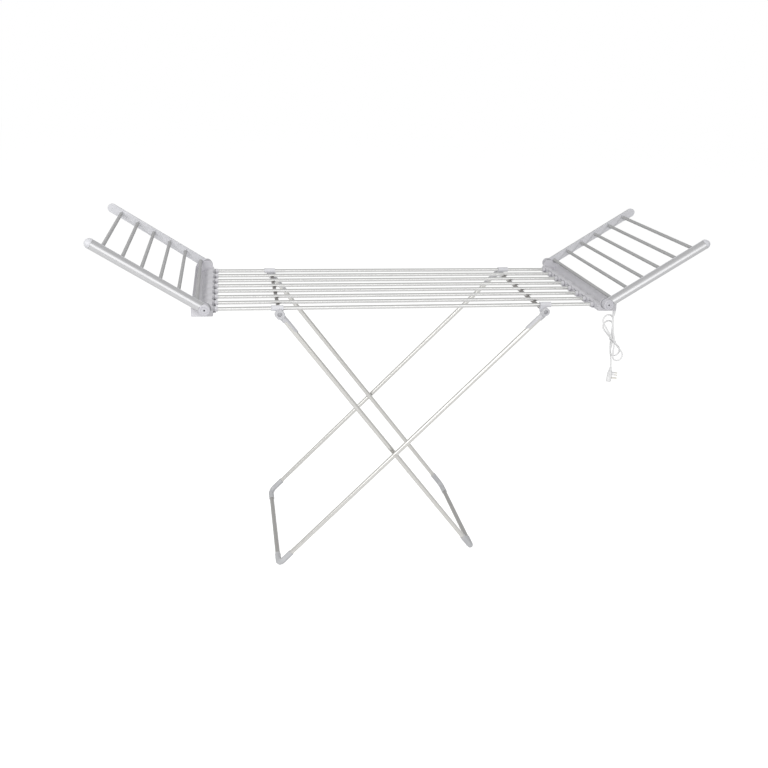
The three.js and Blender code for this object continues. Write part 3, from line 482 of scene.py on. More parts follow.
def pipe(start, end, radius, wall, sides=40, edge=0.25):
    """A straight tube between two points: a closed profile of its outside and bore, with rounded rims."""
    start, end = np.array(start, float), np.array(end, float)
    half = np.linalg.norm(end - start) / 2
    bore = radius - wall
    ring = rounded([[radius, 0], [radius, half], [bore, half], [bore, -half], [radius, -half], [radius, 0]],
                   [edge] * 4, 3)[:-1]
    return placed(turned(ring, sides), (start + end) / 2, end - start), True


satin_anodised = drawn("satin_anodised_tube", "#b9b9b8", "#adadac", 0.7, 0.27, 0.002)
for k in range(8):
    y = (3.5 - k) * bar_pitch
    make(f"deck_tube_{k + 1}", [pipe([-bar_half, y, deck_z], [bar_half, y, deck_z], bar_radius, bar_wall)],
         satin_anodised, "deck", [f"deck_bar_{k + 1}"])

# Heating cable
# Silicone-sheathed element inside the deck tubes. It hardly shows: matt, and slightly rubbery.
cable_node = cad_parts["heating_cable"]
cable_node.data.materials.clear()
cable_node.data.materials.append(grainy("silicone_sheath", "#b9402c", "#a83a28", 1.0, 0.6, 0.02, ior=1.41))

# End housings
# Each is a tray and a cover, moulded in light lilac-grey ABS with a fine sparked texture and screwed
# together from below. Half of every tube socket is on the tray and half on the cover.
inner_wall, outer_wall, housing_half = 608.0, 672.0, 257.5
housing_bottom, housing_wall, housing_corner = 901.0, 2.5, 5.0
cover_half, rim_gap, split = 250.2, 0.3, 0.15
boss_end, boss_mid, socket_back, boss_radius, socket_bore = 594.0, 601.0, 611.0, 8.0, 6.3
ledge_half = 3.6 * bar_pitch
cover_wall, cover_inner, cover_outer, flat_under = 2.2, 2.5, 2.7, 9.0
hinge_x, hinge_z, cheek_radius, cheek_in = 632.5, 926.4, 19.5, 250.5
# The tool's spark-eroded face leaves a fine even grain, which shows no clear reflection.
sparked_abs = grainy("sparked_abs", "#d6d5d9", "#cdccd1", 0.9, 0.46, 0.012, ior=1.53)


def facing_out(grid, out, x, y, z):
    """A grid worked out along Z, turned to point out across the airer, and moved to x, out times y, and z."""
    return placed(grid, [x, out * y, z], [0, out, 0])


def plan_rows(profile):
    """Rounded rectangles of the housing's plan, one row for each inset and height of the profile."""
    rows = []
    for inset, z in profile:
        r = max(housing_corner - inset, 0.4)
        x0, x1, y1 = inner_wall + inset, outer_wall - inset, housing_half - inset
        quarter = np.linspace(0, np.pi / 2, 9)
        ring = []
        corners = ((x1 - r, y1 - r), (x0 + r, y1 - r), (x0 + r, r - y1), (x1 - r, r - y1))
        for base, (cx, cy) in enumerate(corners):
            turn = quarter + base * np.pi / 2
            ring.append(np.stack([cx + r * np.cos(turn), cy + r * np.sin(turn), z + 0 * turn], 1))
        rows.append(np.vstack(ring))
    return np.array(rows)


def slab(outline, near, far, edge=0.8):
    """A flat piece across Y: its outline in X and Z, drawn in by the edge's rounding at both faces. Each
    point moves along the mitre of its two neighbouring sides' normals."""
    outline = np.asarray(outline, float)
    run = np.roll(outline, -1, 0) - outline
    onward = np.stack([run[:, 1], -run[:, 0]], 1) / np.linalg.norm(run, axis=1)[:, None]
    before = np.roll(onward, 1, 0)
    normal = (onward + before) / (1 + (onward * before).sum(1))[:, None]
    middle = outline.mean(0)
    if ((outline - middle) * normal).sum() < 0:
        normal = -normal
    inset = 2.3 * edge
    rim = rounded([[inset, near], [0, near], [0, far], [inset, far]], [edge, edge])
    rows = outline[None] - rim[:, None, :1] * normal[None]
    y = np.broadcast_to(rim[:, 1][:, None, None], rows[..., :1].shape)
    return np.concatenate([rows[..., :1], y, rows[..., 1:]], -1)


def half_socket(y, upper):
    """Half of a deck tube's round socket: a closed section of its wall, spun half a turn about the tube."""
    wall = rounded([[boss_radius, boss_mid], [boss_radius, boss_end], [socket_bore, boss_end],
                    [socket_bore, socket_back], [boss_radius, socket_back], [boss_radius, boss_mid]],
                   [0.9, 0.4, 0, 0], 3)[:-1]
    gap = split / boss_radius
    start, stop = (gap, np.pi - gap) if upper else (np.pi + gap, 2 * np.pi - gap)
    turn = np.linspace(start, stop, 21)[:, None]
    r, x = wall.T
    return np.stack([x + 0 * turn, y + r * np.cos(turn), deck_z + r * np.sin(turn)], -1)


def cover_height(u, y):
    """Height above the tube axis at the share u of the way across the housing: a smooth line through a few
    heights, with a rounded ridge over every tube, parted by narrow valleys, that fades out before the hollow
    under the first rung."""
    table_u = np.array([0, 0.1, 0.28, 0.43, 0.58, 0.8, 1])
    table_z = np.array([5.2, 5.7, 4.8, -1.4, -7.4, 2.6, 12.0])
    slope = np.array([5, 0, -18, -56, 0, 70, 20.0])
    k = np.clip(np.searchsorted(table_u, u, side="right") - 1, 0, 5)
    h = table_u[k + 1] - table_u[k]
    s = (u - table_u[k]) / h
    line = ((1 + 2 * s) * (1 - s) ** 2 * table_z[k] + s * (1 - s) ** 2 * h * slope[k]
            + s * s * (3 - 2 * s) * table_z[k + 1] + s * s * (s - 1) * h * slope[k + 1])
    off = np.abs(((y / bar_pitch) % 1) - 0.5) * 2
    ridge = 1 - 2 * off ** 2.2
    fade = np.clip(1 - (u - 0.36) / 0.2, 0, 1)
    return line + 3.4 * ridge * fade * fade * (3 - 2 * fade)


def drawn_in(place, half):
    """How far the rounded corners of the housing's plan draw a side in, at a place along its half length."""
    past = np.clip(np.abs(place) - (half - housing_corner), 0, housing_corner)
    return housing_corner - np.sqrt(housing_corner ** 2 - past ** 2)


def cover_shell():
    """Rows along Y. Each goes round a closed section: up the inner edge, over the top, down and back under.
    Between the tubes the inner edge is set back behind the tray's rim, which leaves a shadow gap."""
    top_u = np.linspace(0, 1, 33)
    y = np.concatenate([np.linspace(-cover_half, cover_half, 257), [-cover_half + 0.3, cover_half - 0.3]])
    rows = []
    for place in np.sort(y):
        off = abs(((place / bar_pitch) % 1) - 0.5) * 2
        notch = 3.4 * min(max((off - 0.42) / 0.08, 0), 1) * (abs(place) < ledge_half)
        less, rim = float(drawn_in(place, housing_half)), inner_wall + rim_gap
        low, high = rim + max(notch, less), outer_wall - less
        drop = 0.6 if abs(place) > cover_half - 0.2 else 0
        top = cover_height(top_u, np.full_like(top_u, place)) - drop
        x = np.clip(rim + top_u * (outer_wall - inner_wall - rim_gap), low + 0.001 * top_u, high)
        upper = np.stack([x, deck_z + top], 1)
        first, last = upper[0].copy(), upper[-1].copy()
        upper = upper[1:-1]
        near, far = first[0] + cover_inner, last[0] - cover_outer
        flat = np.where(top_u[-2:0:-1] > 0.62, deck_z - flat_under, 1e3)
        below = np.minimum(upper[::-1, 1] - cover_wall, flat)
        under = np.stack([np.clip(upper[::-1, 0], low + cover_inner, high - cover_outer), below], 1)
        soft = np.linspace(0, 1, 5)[:, None]
        inner = corner_arc(first - [0, cover_wall], first, upper[0], soft)
        outer = corner_arc(upper[-1], last, last - [0, 1.6], soft)
        base = deck_z + split
        ring = np.vstack([[first[0], base], inner, upper[1:-1], outer, [last[0], base], [far, base],
                          [far, under[0, 1]], under[1:-1], [near, under[-1, 1]], [near, base]])
        rows.append(np.stack([ring[:, 0], np.full(len(ring), place), ring[:, 1]], 1))
    return np.array(rows)


def end_wall(out):
    """The wall that closes the housing's end beside its cheek: rows along X, each a section from the cover's
    end to the rounded plan, as high as the cover. A pocket beside the cheek is set back from the end face."""
    x = np.concatenate([np.linspace(610.6, 612.2, 5), [612.3], np.linspace(613, 651, 16), [652],
                        np.linspace(653, 669.6, 14)])
    middle, width = (inner_wall + outer_wall) / 2, outer_wall - inner_wall
    face = housing_half - 0.15 - drawn_in(x - middle, width / 2)
    face = np.where((x > 612.25) & (x < 651.5), cheek_in + 0.9, face)
    top = deck_z + cover_height((x - inner_wall) / width, np.full_like(x, cover_half)) - 0.3
    top = np.where(x > middle, 930.5 - 1.5 * np.clip(x - 667, 0, 3), top)
    low, inner = np.full_like(x, housing_bottom + 1.0), np.full_like(x, cheek_in - 0.2)
    soft = np.minimum(0.8, (face - inner) * 0.4)
    near = face - soft * 0.3
    y = np.stack([inner, face - soft, near, face, face, near, face - soft, inner], 1)
    z = np.stack([low, low, low + 0.1, low + 0.5, top - soft, top - soft * 0.3, top, top], 1)
    return np.stack([np.broadcast_to(x[:, None], y.shape), out * y, z], -1)


tray_rim, tray_floor = deck_z - split, housing_bottom + housing_wall
tray_profile = rounded([[26, housing_bottom], [0, housing_bottom], [0, tray_rim], [housing_wall, tray_rim],
                        [housing_wall, tray_floor], [26, tray_floor]], [1.6, 0.4, 0.4, 1.0], 4)
# The cheek carries the hinge. Its corner is cut back inside the circle that the first rung swings on.
web_left, web_right, web_low = 608.8, hinge_x + cheek_radius, housing_bottom + 2.4
cheek_line = np.vstack([
    rounded([[web_right, 915.0], [web_right, 927.0], [648.6, 936.0], [641.0, 941.4], [619.8, 941.4],
             [613.1, 930.0], [612.9, 919.6], [web_left, 917.2], [web_left, web_low]],
            [4, 4, 5, 3, 3, 2, 2], 3),
    np.stack([np.linspace(web_left, web_right, 16)[1:], np.full(15, web_low)], 1)])
hinge_pin = rounded([[0, -1], [5, -1], [5, 13], [0, 13]], [0, 0.8], 4)

gland_ribs = 0.5 * (np.cos(np.linspace(0, 1, 61) * 2 * np.pi * 5.5) > 0.25)
make("lead_gland", [ribbed(gland_foot, 22, 4.1, gland_ribs, 32)], pvc_sheath, "deck")

# Matt grey rings, darker than the housings, round the tubes at the covers, and thin ones behind the hinge
# discs: painted shade for the shadow gaps between cover and sockets and beside the discs.
shade_ring_rubber = grainy("shade_ring_rubber", "#a2a1a5", "#98989b", 1.0, 0.6, 0.02)
shade_washer_profile, shade_washer_shift = [[0, 0], [18.2, 0], [18.2, 0.3], [0, 0.3]], 1.4
shade_ring_start, shade_ring_end, shade_ring_radius, shade_ring_wall = 603.8, 606.4, 8.1, 2.0

tube_rows = (np.arange(8) - 3.5) * bar_pitch
both_sides = (("right", np.ones(3)), ("left", np.array([-1.0, -1.0, 1.0])))
for side, flip in both_sides:
    tray = [plan_rows(tray_profile)]
    tray += [half_socket(y, False) for y in tube_rows]
    tray.append(block([599.5, -ledge_half, housing_bottom + 0.8],
                      [609, ledge_half, housing_bottom + 4.2], 1.0))
    for out in (-1, 1):
        tray.append(slab(cheek_line, out * cheek_in, out * (housing_half + 0.05)))
        tray.append(end_wall(out))
        tray.append(facing_out(turned(hinge_pin, 32), out, hinge_x, housing_half, hinge_z))
    make(f"{side}_tray", [g * flip for g in tray], sparked_abs, "deck",
         [f"{side}_housing_tray"])
    cover = [cover_shell()] + [half_socket(y, True) for y in tube_rows]
    make(f"{side}_cover", [g * flip for g in cover], sparked_abs, "deck",
         [f"{side}_housing_cover"], crease=45)
    # These rings are painted shade: grey rubber put where the gap between cover and sockets is in shadow.
    shade_rings = [pipe([shade_ring_start, y, deck_z], [shade_ring_end, y, deck_z], shade_ring_radius, shade_ring_wall) for y in tube_rows]
    make(f"{side}_tube_shade_rings", [(grid * flip, wrap) for grid, wrap in shade_rings], shade_ring_rubber, "deck")
    # The thin washers are painted shade: a grey sheet behind each disc for the shadow beside it.
    shade_washer, shade_washer_x = turned(shade_washer_profile, 48), hinge_x - shade_washer_shift
    shade_washers = [facing_out(shade_washer, out, shade_washer_x, housing_half + 0.1, hinge_z) for out in (-1, 1)]
    make(f"{side}_hinge_washers", [grid * flip for grid in shade_washers], shade_ring_rubber, "deck")

# Wing rails
# Extruded aluminium channel with a D-shaped back, 30 mm high, satin anodised: faint die lines run
# along it and its rounded back catches a broad highlight.
wing_angle, rail_length, rail_radius = math.radians(32.5), 360.5, 15.0
wing_face, liner_back, rail_back, wing_outside = 258.0, 263.0, 263.3, 280.5
hinge_radius, cap_length = 17.0, 18.0
rail_end = rail_length + rail_radius - cap_length
near_far = (("near", -1), ("far", 1))
satin_extrusion = drawn("satin_extrusion", "#b3b3b4", "#a8a8aa", 0.9, 0.4, 0.003, length_times=160)


def on_wing(grid, flip):
    """Carries a grid from the wing's own frame, X away from the hinge and Z up off it, to its place."""
    x, y, z = np.moveaxis(grid, -1, 0)
    c, s = math.cos(wing_angle), math.sin(wing_angle)
    return np.stack([hinge_x + x * c - z * s, y, hinge_z + x * s + z * c], -1) * flip


def clear_of_hinge(z):
    """Where a rail or liner starts at that height: on a circle just outside the hinge disc."""
    return np.sqrt(np.maximum((hinge_radius + 0.3) ** 2 - z ** 2, 0))


def rail_grid(out):
    """Rows along the rail. Each is a D: a flat side, which the liner closes, and half an ellipse outside."""
    turn = np.linspace(-np.pi / 2, np.pi / 2, 41)
    depth, height = wing_outside - rail_back, rail_radius
    z = np.concatenate([height * np.sin(turn), np.linspace(height, -height, 12)[1:-1] * 0.985])
    y = np.concatenate([rail_back + depth * np.cos(turn), np.full(10, rail_back)])
    share = np.concatenate([[0, 0.001], np.linspace(0.01, 0.99, 24), [0.999, 1]])[:, None]
    start = clear_of_hinge(z)[None]
    x = start + share * (rail_end - start)
    inset = 1 - 0.02 * (share == 1)
    return np.stack([x, out * np.broadcast_to(y, x.shape), np.broadcast_to(z, x.shape) * inset], -1)


# Wing liners
# ABS mouldings pressed into the rails' open sides. Beside each rung the face is scooped out on the
# hinge side, and at the far end the moulding wraps over the rail as a domed cap.
first_rung, rung_pitch, rung_radius, rung_half = 26.0, 60.35, 5.5, 261.8
scoop_length, scoop_depth, mouth = 54.0, 4.1, 1.2
# A smooth tool leaves an even face with a soft sheen.
smooth_abs = grainy("smooth_abs", "#dcdce0", "#d4d5d9", 1.1, 0.44, 0.003, ior=1.53)


def scoop(x, z):
    """How far the face is set back: each scoop lies below a brim that slants from the lower edge up to its
    rung, on the hinge side, and falls away from it over nine millimetres."""
    depth = np.zeros(np.broadcast(x, z).shape)
    for k in range(1, 6):
        back = first_rung + k * rung_pitch - x
        brim = 11.5 - 25.0 * back / scoop_length
        below = np.clip((brim - z) / 9.0, 0, 1) * (back >= -0.01) * (back <= scoop_length)
        depth = np.maximum(depth, scoop_depth * below)
    return depth


def liner_grid(out):
    """Rows along the liner. Each goes over the face from its lower edge to its upper one and back behind."""
    stations = [0, 0.4, mouth]
    for k in range(1, 6):
        rung = first_rung + k * rung_pitch
        stations += [*(rung - scoop_length * np.linspace(1, 0, 19)), rung + 0.03]
    stations += [rail_end - 20, rail_end, rail_end + 0.3, rail_end + 0.35, rail_length]
    stations = np.array(stations)
    stations[3:] = np.maximum.accumulate(stations[3:])
    dome = rail_length + rail_radius * np.sin(np.linspace(0, np.pi / 2, 15)[1:])
    face_z = np.sin(np.linspace(-np.pi / 2, np.pi / 2, 37))
    back_turn = np.linspace(np.pi / 2, -np.pi / 2, 29)
    rows = []
    for x in np.concatenate([stations, dome]):
        q = min(max((x - rail_length) / rail_radius, 0), 1)
        half = max(rail_radius * math.sqrt(1 - q * q), 0.02)
        z = half * face_z
        start = clear_of_hinge(z)
        px = start + x if x <= mouth else np.maximum(x, start + 1.5)
        edge = 0.9 * np.clip(np.abs(face_z) * 12 - 11, 0, 1) ** 2
        edge = edge + 0.9 * np.clip((rail_end - x) / 4, 0, 1) * np.clip((1 - np.abs(face_z)) * 9, 0, 1)
        y = np.minimum(wing_face + edge + scoop(px, z), liner_back - 0.6)
        if x >= rail_end + 0.35:
            depth = (wing_outside - rail_back) * math.sqrt(1 - (0.93 * q) ** 2)
            bz, by = half * np.sin(back_turn), rail_back + depth * np.cos(back_turn)
        elif x >= rail_end:
            depth = 0.2 if x == rail_end else wing_outside - rail_back - 0.4
            bz, by = 0.985 * half * np.sin(back_turn), liner_back + depth * np.cos(back_turn)
        else:
            bz, by = half * np.linspace(0.995, -0.995, 29), np.full(29, liner_back)
        bx = np.maximum(clear_of_hinge(bz) + min(x, mouth), x)
        rows.append(np.concatenate([np.stack([px, out * y, z], 1), np.stack([bx, out * by, bz], 1)]))
    return np.array(rows)


# Hinge discs
# Turned-looking ABS discs that plug into the rails and ride on the housing's pins. The outer face
# has a shallow ring, and a black zinc-plated cross-head screw sits in the middle.
disc_profile = rounded([[0, 258.5], [5.3, 258.5], [5.3, 258.0], [17, 258.0], [17, 278.9], [14.6, 280.3],
                        [11.6, 280.3], [11.0, 279.0], [9.4, 279.0], [8.9, 280.4], [2.9, 280.4], [2.5, 276.6],
                        [0, 276.6]], [0, 0, 0.8, 1.2, 0.8, 0.5, 0.3, 0.3, 0.5, 0.3, 0.1], 4)
# The discs are a shade darker than the liners, and smoother than the housings.
moulded_disc = grainy("moulded_disc", "#cfced3", "#c6c5cb", 0.9, 0.44, 0.006, ior=1.53)
# Black zinc on the screw heads: dark, with a dull gleam.
black_zinc = grainy("black_zinc", "#4a4a4d", "#3c3c3f", 0.6, 0.45, 0.006, 1.0)


def screw_head(radius, rise, recess=0.9):
    """A domed head on a polar grid, with a cross pressed into it."""
    r = np.concatenate([[radius], np.linspace(radius, 0, 19)])
    turn = around(56)
    x, y = r[:, None] * np.cos(turn), r[:, None] * np.sin(turn)
    h = rise * (1 - (r / radius) ** 2)[:, None] + 0 * turn
    h[0] = -1.5
    ax, ay = np.abs(x), np.abs(y)
    arm = (np.minimum(ax, ay) < radius * 0.13) & (np.maximum(ax, ay) < radius * 0.6)
    return np.stack([x, y, h - recess * arm], -1)


# Wing rungs
# Steel tube, 11 mm, with a matt grey powder coat. It carries the wing's heating cable, and stays
# flat and even in the light. The coat's orange-peel is drawn about twice its size so that it shows.
grey_powder = grainy("grey_powder_coat", "#bababa", "#b2b2b3", 1.8, 0.62, 0.02)

for side, flip in both_sides:
    body = f"{side}_wing"
    for place, sign in near_far:
        out = sign if side == "right" else -sign
        disc = facing_out(turned(disc_profile, 64), out, 0, 0, 0)
        for kind, grid, finish, slot, crease in (("rail", rail_grid(out), satin_extrusion, "wing_rail", 32),
                                                 ("liner", liner_grid(out), smooth_abs, "liner_plastic", 40),
                                                 ("hinge", disc, moulded_disc, "hinge_plastic", 32)):
            make(f"{side}_{kind}_{place}", [on_wing(grid, flip)], finish, body,
                 [f"{side}_wing_{kind}_{place}"], crease)
        hinge_screw = facing_out(screw_head(2.3, 0.5), out, 0, 277.2, 0)
        tip_screw = placed(screw_head(2.2, 0.4), [rail_length, out * (wing_face + 0.3), 0], [0, -out, 0])
        screws = [on_wing(hinge_screw, flip), on_wing(tip_screw, flip)]
        make(f"{side}_screws_{place}", screws, black_zinc, body)
    for k in range(6):
        x = first_rung + k * rung_pitch
        grid, closed = pipe([x, -rung_half, 0], [x, rung_half, 0], rung_radius, 0.9, 36)
        make(f"{side}_rung_{k + 1}", [(on_wing(grid, flip), closed)], grey_powder, body,
             [f"{side}_wing_rung_{k + 1}"])

# Leg brackets
# ABS mouldings: a sleeve round the outermost deck tube and an ear below it that takes the leg's
# bolt and the end of the cross rod. The left pair slides along its tubes, the right pair is pinned.
edge_bar, pivot_z = 220.5, 897.5
inner_top, outer_top = -411.0, 433.5
ear_in, ear_out = 221.0, 229.7
inner_eye, outer_eye, eye_thick = 230.0, 243.3, 10.0
ear_round, ear_neck = 12.0, 8.5
flat_from, flat_at = 13.0, -6.45


def sleeve_grid(x, outward):
    """A closed ring spun about the deck tube, with a bead at each end, cut flat under its outer end."""
    ring = rounded([[9.2, 6], [9.2, -10.6], [9.7, -10.9], [9.7, -12], [6.3, -12], [6.3, 25], [9.7, 25],
                    [9.7, 23.6], [9.2, 23.3], [9.2, 6]], [0.3, 0.3, 0.5, 0, 0, 0.5, 0.3, 0.3], 3)[:-1]
    steps = []
    for a, b in zip(ring, np.roll(ring, -1, 0)):
        run = abs(b[1] - a[1])
        parts = 1 + int(run // 1.4) if run > 1.5 else 1
        steps.append(a[None] + (b - a)[None] * np.linspace(0, 1, parts, endpoint=False)[:, None])
    ring = np.vstack(steps)
    grid = turned(ring, 48)
    cut = (grid[..., 2] > flat_from) & (np.hypot(grid[..., 0], grid[..., 1]) > 6.6)
    high = np.where(cut, np.maximum(grid[..., 1], flat_at), grid[..., 1])
    return np.stack([x + outward * grid[..., 2], grid[..., 0], deck_z + high], -1)


def ear_outline(x):
    """Round the pivot below and straight up into the sleeve above."""
    turn = np.linspace(np.pi, 2 * np.pi, 29)
    lower = np.stack([x + ear_round * np.cos(turn), pivot_z + ear_round * np.sin(turn)], 1)
    rise = np.linspace(0, 1, 12)[1:, None]
    top_right, top_left = np.array([[x + ear_neck, deck_z - 1], [x - ear_neck, deck_z - 1]])
    right_side = lower[-1] + rise * (top_right - lower[-1])
    left_side = top_left + rise * (lower[0] - top_left)
    return np.vstack([lower, right_side, left_side[:-1]])


# Bolts
# Bolts with a hexagon socket hold each leg to its bracket, sunk in the knuckle's eye. Their zinc
# plate has a dull grey gleam.
zinc_plate = grainy("zinc_plate", "#a3a3a6", "#939397", 0.6, 0.34, 0.004, 1.0)


def hex_bolt(radius=5.6, socket=3.0):
    """A round head on a polar grid, with a six-sided socket sunk in it."""
    turn = around(60)
    flat = socket * math.cos(np.pi / 6) / np.cos((turn % (np.pi / 3)) - np.pi / 6)
    table = [(1, 0, -3.0), (1, 0, -0.6), (0.97, 0, -0.15), (0.9, 0, 0), (0, 1.06, 0), (0, 1.0, -0.2),
             (0, 0.98, -2.2), (0, 0.5, -2.4), (0, 0, -2.4)]
    rim, well, height = np.array(table).T[..., None]
    r = rim * radius + well * flat
    return np.stack([r * np.cos(turn), r * np.sin(turn), height + 0 * turn], -1)


# Cross rods
# Plain steel rods, 12 mm, that hold each pair of brackets apart. Their grey is darkened as painted shade for
# the shadow they lie in under the deck, with faint streaks along them.
rod_half, rod_radius, rod_wall = 220.7, 6.0, 5.6
shade_darkened_steel = drawn("shade_darkened_drawn_steel", "#84817f", "#73706e", 0.8, 0.38, 0.006, length_times=60)

for name, x, outward, eye, body in (("sliding", inner_top, -1, inner_eye, "leg_slider"),
                                    ("fixed", outer_top, 1, outer_eye, "deck")):
    for place, out in near_far:
        sleeve = sleeve_grid(x, outward)
        sleeve[..., 1] += out * edge_bar
        boss = rounded([[0, -10], [8, -10], [8, 0.5], [0, 0.5]], [0.8, 0], 4)
        parts = [(sleeve, True), slab(ear_outline(x), out * ear_in, out * ear_out, 1.2),
                 facing_out(turned(boss, 36), out, x, ear_in, pivot_z)]
        if eye > ear_out + 1:
            reach = eye - 0.3 - ear_out
            spacer = rounded([[0, -0.5], [8.4, -0.5], [8.4, reach], [0, reach]], [0, 0.6], 4)
            parts.append(facing_out(turned(spacer, 36), out, x, ear_out, pivot_z))
        make(f"{name}_bracket_{place}_moulding", parts, smooth_abs, body,
             [f"{name}_bracket_{place}"])
        bolt = facing_out(hex_bolt(), out, x, eye + eye_thick - 2.2, pivot_z)
        make(f"{name}_bolt_{place}", [bolt], zinc_plate, body)
    rod = pipe([x, -rod_half, pivot_z], [x, rod_half, pivot_z], rod_radius, rod_wall, 36, 0.2)
    make(f"{name}_rod", [rod], shade_darkened_steel, body, [f"{name}_cross_rod"])

# Leg frames
# Steel tube, 16 mm, sprayed with silver lacquer under a clear coat: a warm glossy grey with faint
# metal flake, drawn a little coarse so that it shows.
leg_radius, leg_wall, under_collar, under_elbow = 8.0, 1.2, 28.0, 30.0
foot_z, elbow_arm, elbow_bend = 9.5, 62.0, 22.0
inner_foot, outer_foot, inner_leg_out, outer_leg_out = 269.6, -420.6, 228.0, 251.0
silver_lacquer = drawn("silver_lacquer", "#bfbebb", "#b3b2af", 1.1, 0.28, 0.004, 0.85, 40)
# The foot tubes take a darker, duller copy of the leg lacquer and stay an even mid grey.
foot_lacquer = drawn("foot_lacquer", "#a6a5a3", "#9b9a98", 1.1, 0.42, 0.004, 0.6, 40)

# Knuckles
# Nylon mouldings: a flat eye for the bolt, squarish on the inner frame and nearly round on the outer
# one, drawn down to a round collar over the leg, with a tongue along the leg's upper side.
# Each eye's half width and corner radius go by where its inner face is.
collar_radius = 9.6
tongue_start, tongue_full, tongue_round, tongue_spread = 28.0, 70.0, 10.0, np.radians(74)
tongue_top, tongue_under = 10.2, 8.1
eye_shapes = {inner_eye: (13.8, 8.6), outer_eye: (12.9, 12.2)}
# Nylon off a finely grained tool: even, with a soft sheen.
moulded_nylon = grainy("moulded_nylon", "#cfcfd2", "#c5c5c9", 1.0, 0.46, 0.006, ior=1.53)


def head_grid(out, eye):
    """The eye: a square with round corners from its back to its front face, then a raised ring round the
    bolt's counterbore, its wall and its floor. Each row is a share of the square, plus so much all round."""
    eye_half, eye_corner = eye_shapes[eye]
    turn = around(72)
    c, d = np.cos(turn), np.sin(turn)
    flat = eye_half - eye_corner
    ax, az = np.abs(c), np.abs(d)
    reach = np.minimum(eye_half / np.maximum(ax, 1e-9), eye_half / np.maximum(az, 1e-9))
    lean = flat * (ax + az)
    corner = lean + np.sqrt(np.maximum(lean ** 2 - 2 * flat ** 2 + eye_corner ** 2, 0))
    in_corner = (reach * ax > flat) & (reach * az > flat)
    square = np.where(in_corner, corner, reach)
    front = eye + eye_thick
    table = [(0.0, 0.0, eye), (0.5, 0.0, eye), (1, -1.0, eye), (1, -0.3, eye + 0.3), (1, 0, eye + 1.0),
             (1, 0, front - 1.2), (1, -0.35, front - 0.45), (1, -1.1, front - 0.1), (1, -1.5, front - 0.1),
             (1, -1.9, front - 0.5), (1, -2.3, front - 0.7), (0, 9.6, front - 0.7), (0, 9.1, front),
             (0, 7.6, front), (0, 7.0, front - 0.4), (0, 6.6, front - 4.6), (0, 6.2, front - 4.8),
             (0, 0.01, front - 4.8)]
    share, more, y = np.array(table).T[..., None]
    r = share * square + more
    return np.stack([r * c, out * y + 0 * c, r * d], -1)


def knuckle_grid(out, leg_out, eye):
    """Rows down the leg: a superellipse that leaves the eye flat and narrow and becomes the round collar."""
    s = np.concatenate([[8, 8.2], np.linspace(9, 12, 4), np.linspace(12.5, 22, 14),
                        [25, 28.4, 29.2, 29.8, 30, 30]])
    ease = np.clip((s - 11.5) / 8.5, 0, 1)
    ease = ease * ease * (3 - 2 * ease)
    wide = 10.6 * (1 - ease) + collar_radius * ease
    thick = (eye_thick / 2 - 0.7) * (1 - ease) + collar_radius * ease
    lip = np.interp(s, [28.3, 29.2, 29.8, 30], [0, 0.12, 0.45, 1.1])
    wide, thick = wide - lip, thick - lip
    wide[-1], thick[-1] = 7.5, 7.5
    middle = (eye + eye_thick / 2) * (1 - ease) + leg_out * ease
    power = (2 / (7 - 5 * ease))[:, None]
    turn = around(56)
    z = wide[:, None] * squared(np.cos(turn), power)
    y = thick[:, None] * squared(np.sin(turn), power) + middle[:, None]
    return np.stack([np.broadcast_to(s[:, None], z.shape), out * y, z], -1)


def tongue_grid(out, leg_out, upper):
    """A band of the collar's section, carried down the leg and narrowing to a round end."""
    s = np.concatenate([np.linspace(tongue_start, tongue_full, 12),
                        tongue_full + tongue_round * np.sin(np.linspace(0.1, np.pi / 2, 10))])
    past = np.maximum(s - tongue_full, 0) / (tongue_round + 0.2)
    half = tongue_spread * np.sqrt(np.clip(1 - past ** 2, 0.02, 1))
    band = np.linspace(-1, 1, 17)
    rows = []
    for place, wide in zip(s, half):
        rim = 0.5 * np.clip(np.abs(band) * 8 - 7, 0, 1)
        outer = np.stack([np.sin(band * wide), np.cos(band * wide)], 1) * (tongue_top - rim)[:, None]
        inner = np.stack([np.sin(-band * wide), np.cos(band * wide)], 1) * tongue_under
        ring = np.vstack([outer, inner])
        rows.append(np.stack([np.full(len(ring), place), out * leg_out + ring[:, 0], upper * ring[:, 1]], 1))
    return np.array(rows)


# Foot elbows
# Grey polypropylene mouldings, waxy and fairly matt, that join each leg to its foot tube. They are
# flat where they stand on the floor.
moulded_pp = grainy("moulded_polypropylene", "#cecfd1", "#c4c4c7", 1.0, 0.48, 0.01, ior=1.49)


def elbow_grid(out, leg_out, length):
    """A round section down the leg, round the bend and in along the foot tube, with a lip at each mouth."""
    bend = np.linspace(0, np.pi / 2, 22)
    corner = [length - elbow_bend, leg_out - elbow_bend]
    arc = np.stack([corner[0] + elbow_bend * np.sin(bend), corner[1] + elbow_bend * np.cos(bend)], 1)
    lips = np.array([0, 0, 0.3, 0.9, 2.0, 9.0])
    mouth = np.stack([length - elbow_arm + lips, np.full(6, leg_out)], 1)
    heel = np.stack([np.full(6, length), leg_out - elbow_arm + lips[::-1]], 1)
    flat = np.vstack([mouth, arc, heel])
    flat[0, 0] += 0.001
    flat[-1, 1] += 0.001
    line = np.stack([flat[:, 0], out * flat[:, 1], 0 * flat[:, 0]], 1)
    radii = np.full(len(line), 10.0)
    radii[:5], radii[-5:] = [7.6, 9.0, 9.6, 9.9, 10.0], [10.0, 9.9, 9.6, 9.0, 7.6]
    return swept(line, np.array([0, 0, 1.0]), radii, 40)


# Rivets
# Rivets where the legs cross, with a domed head outside and a plain shank between the legs. Bare
# steel, with a clean grey shine.
rivet_steel = grainy("rivet_steel", "#b9b7b4", "#a9a7a4", 0.6, 0.3, 0.005, 1.0)


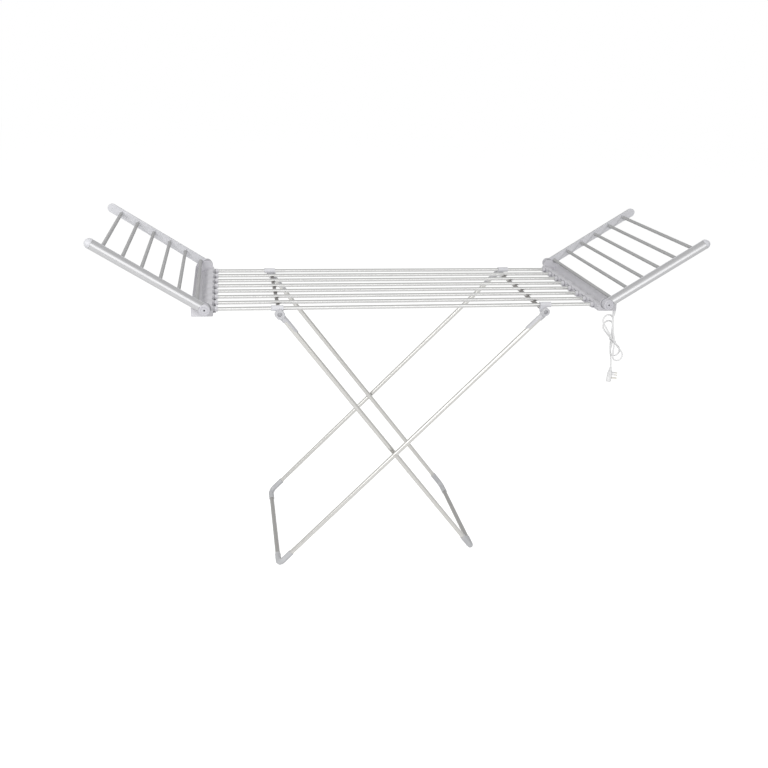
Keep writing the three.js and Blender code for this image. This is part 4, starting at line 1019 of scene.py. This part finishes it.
def leg_frame(name, top, foot, leg_out, eye):
    """Two legs, their knuckles and elbows and the foot tube, worked out along X down the leg from the pivot
    and turned into place."""
    fall, run = pivot_z - foot_z, foot - top
    length = math.hypot(fall, run)
    c, s = run / length, fall / length
    body = f"{name}_leg_frame"
    upper = 1 if run > 0 else -1

    def stood(grid):
        """Carries a grid from the leg's own frame to its place: turned about the pivot, flat at the floor."""
        x, y, z = np.moveaxis(grid, -1, 0)
        place = np.stack([top + x * c + z * s, y, pivot_z - x * s + z * c], -1)
        place[..., 2] = np.maximum(place[..., 2], 0)
        return place

    for place, out in near_far:
        y = out * leg_out
        grid, closed = pipe([under_collar, y, 0], [length - under_elbow, y, 0], leg_radius, leg_wall, 44)
        make(f"{name}_tube_{place}", [(stood(grid), closed)], silver_lacquer, body,
             [f"{name}_leg_{place}"])
        moulding = [head_grid(out, eye), knuckle_grid(out, leg_out, eye), tongue_grid(out, leg_out, upper)]
        make(f"{name}_knuckle_{place}_moulding", [stood(grid) for grid in moulding], moulded_nylon, body,
             [f"{name}_knuckle_{place}"])
        make(f"{name}_elbow_{place}_moulding", [stood(elbow_grid(out, leg_out, length))], moulded_pp, body,
             [f"{name}_elbow_{place}"], crease=40)
        if name == "outer":
            spread = (inner_foot - inner_top) / fall + (outer_top - outer_foot) / fall
            down = (outer_top - inner_top) / spread / s
            dome = rounded([[0, -0.5], [6.5, -0.5], [6.5, 0.8], [0, 2.2]], [0.3, 1.4], 5)
            shank = rounded([[0, -10.4], [6.5, -10.4], [6.5, 0.5], [0, 0.5]], [0.5, 0], 4)
            rivet = [facing_out(turned(dome, 36), out, down, leg_out + leg_radius, 0),
                     facing_out(turned(shank, 36), out, down, leg_out - (leg_radius - 1.7), 0)]
            make(f"crossing_rivet_{place}", [stood(grid) for grid in rivet], rivet_steel, body)
    half = leg_out - under_elbow
    grid, closed = pipe([length, -half, 0], [length, half, 0], leg_radius, leg_wall, 44)
    make(f"{name}_foot", [(stood(grid), closed)], foot_lacquer, body, [f"{name}_foot_tube"])


leg_frame("inner", inner_top, inner_foot, inner_leg_out, inner_eye)
leg_frame("outer", outer_top, outer_foot, outer_leg_out, outer_eye)
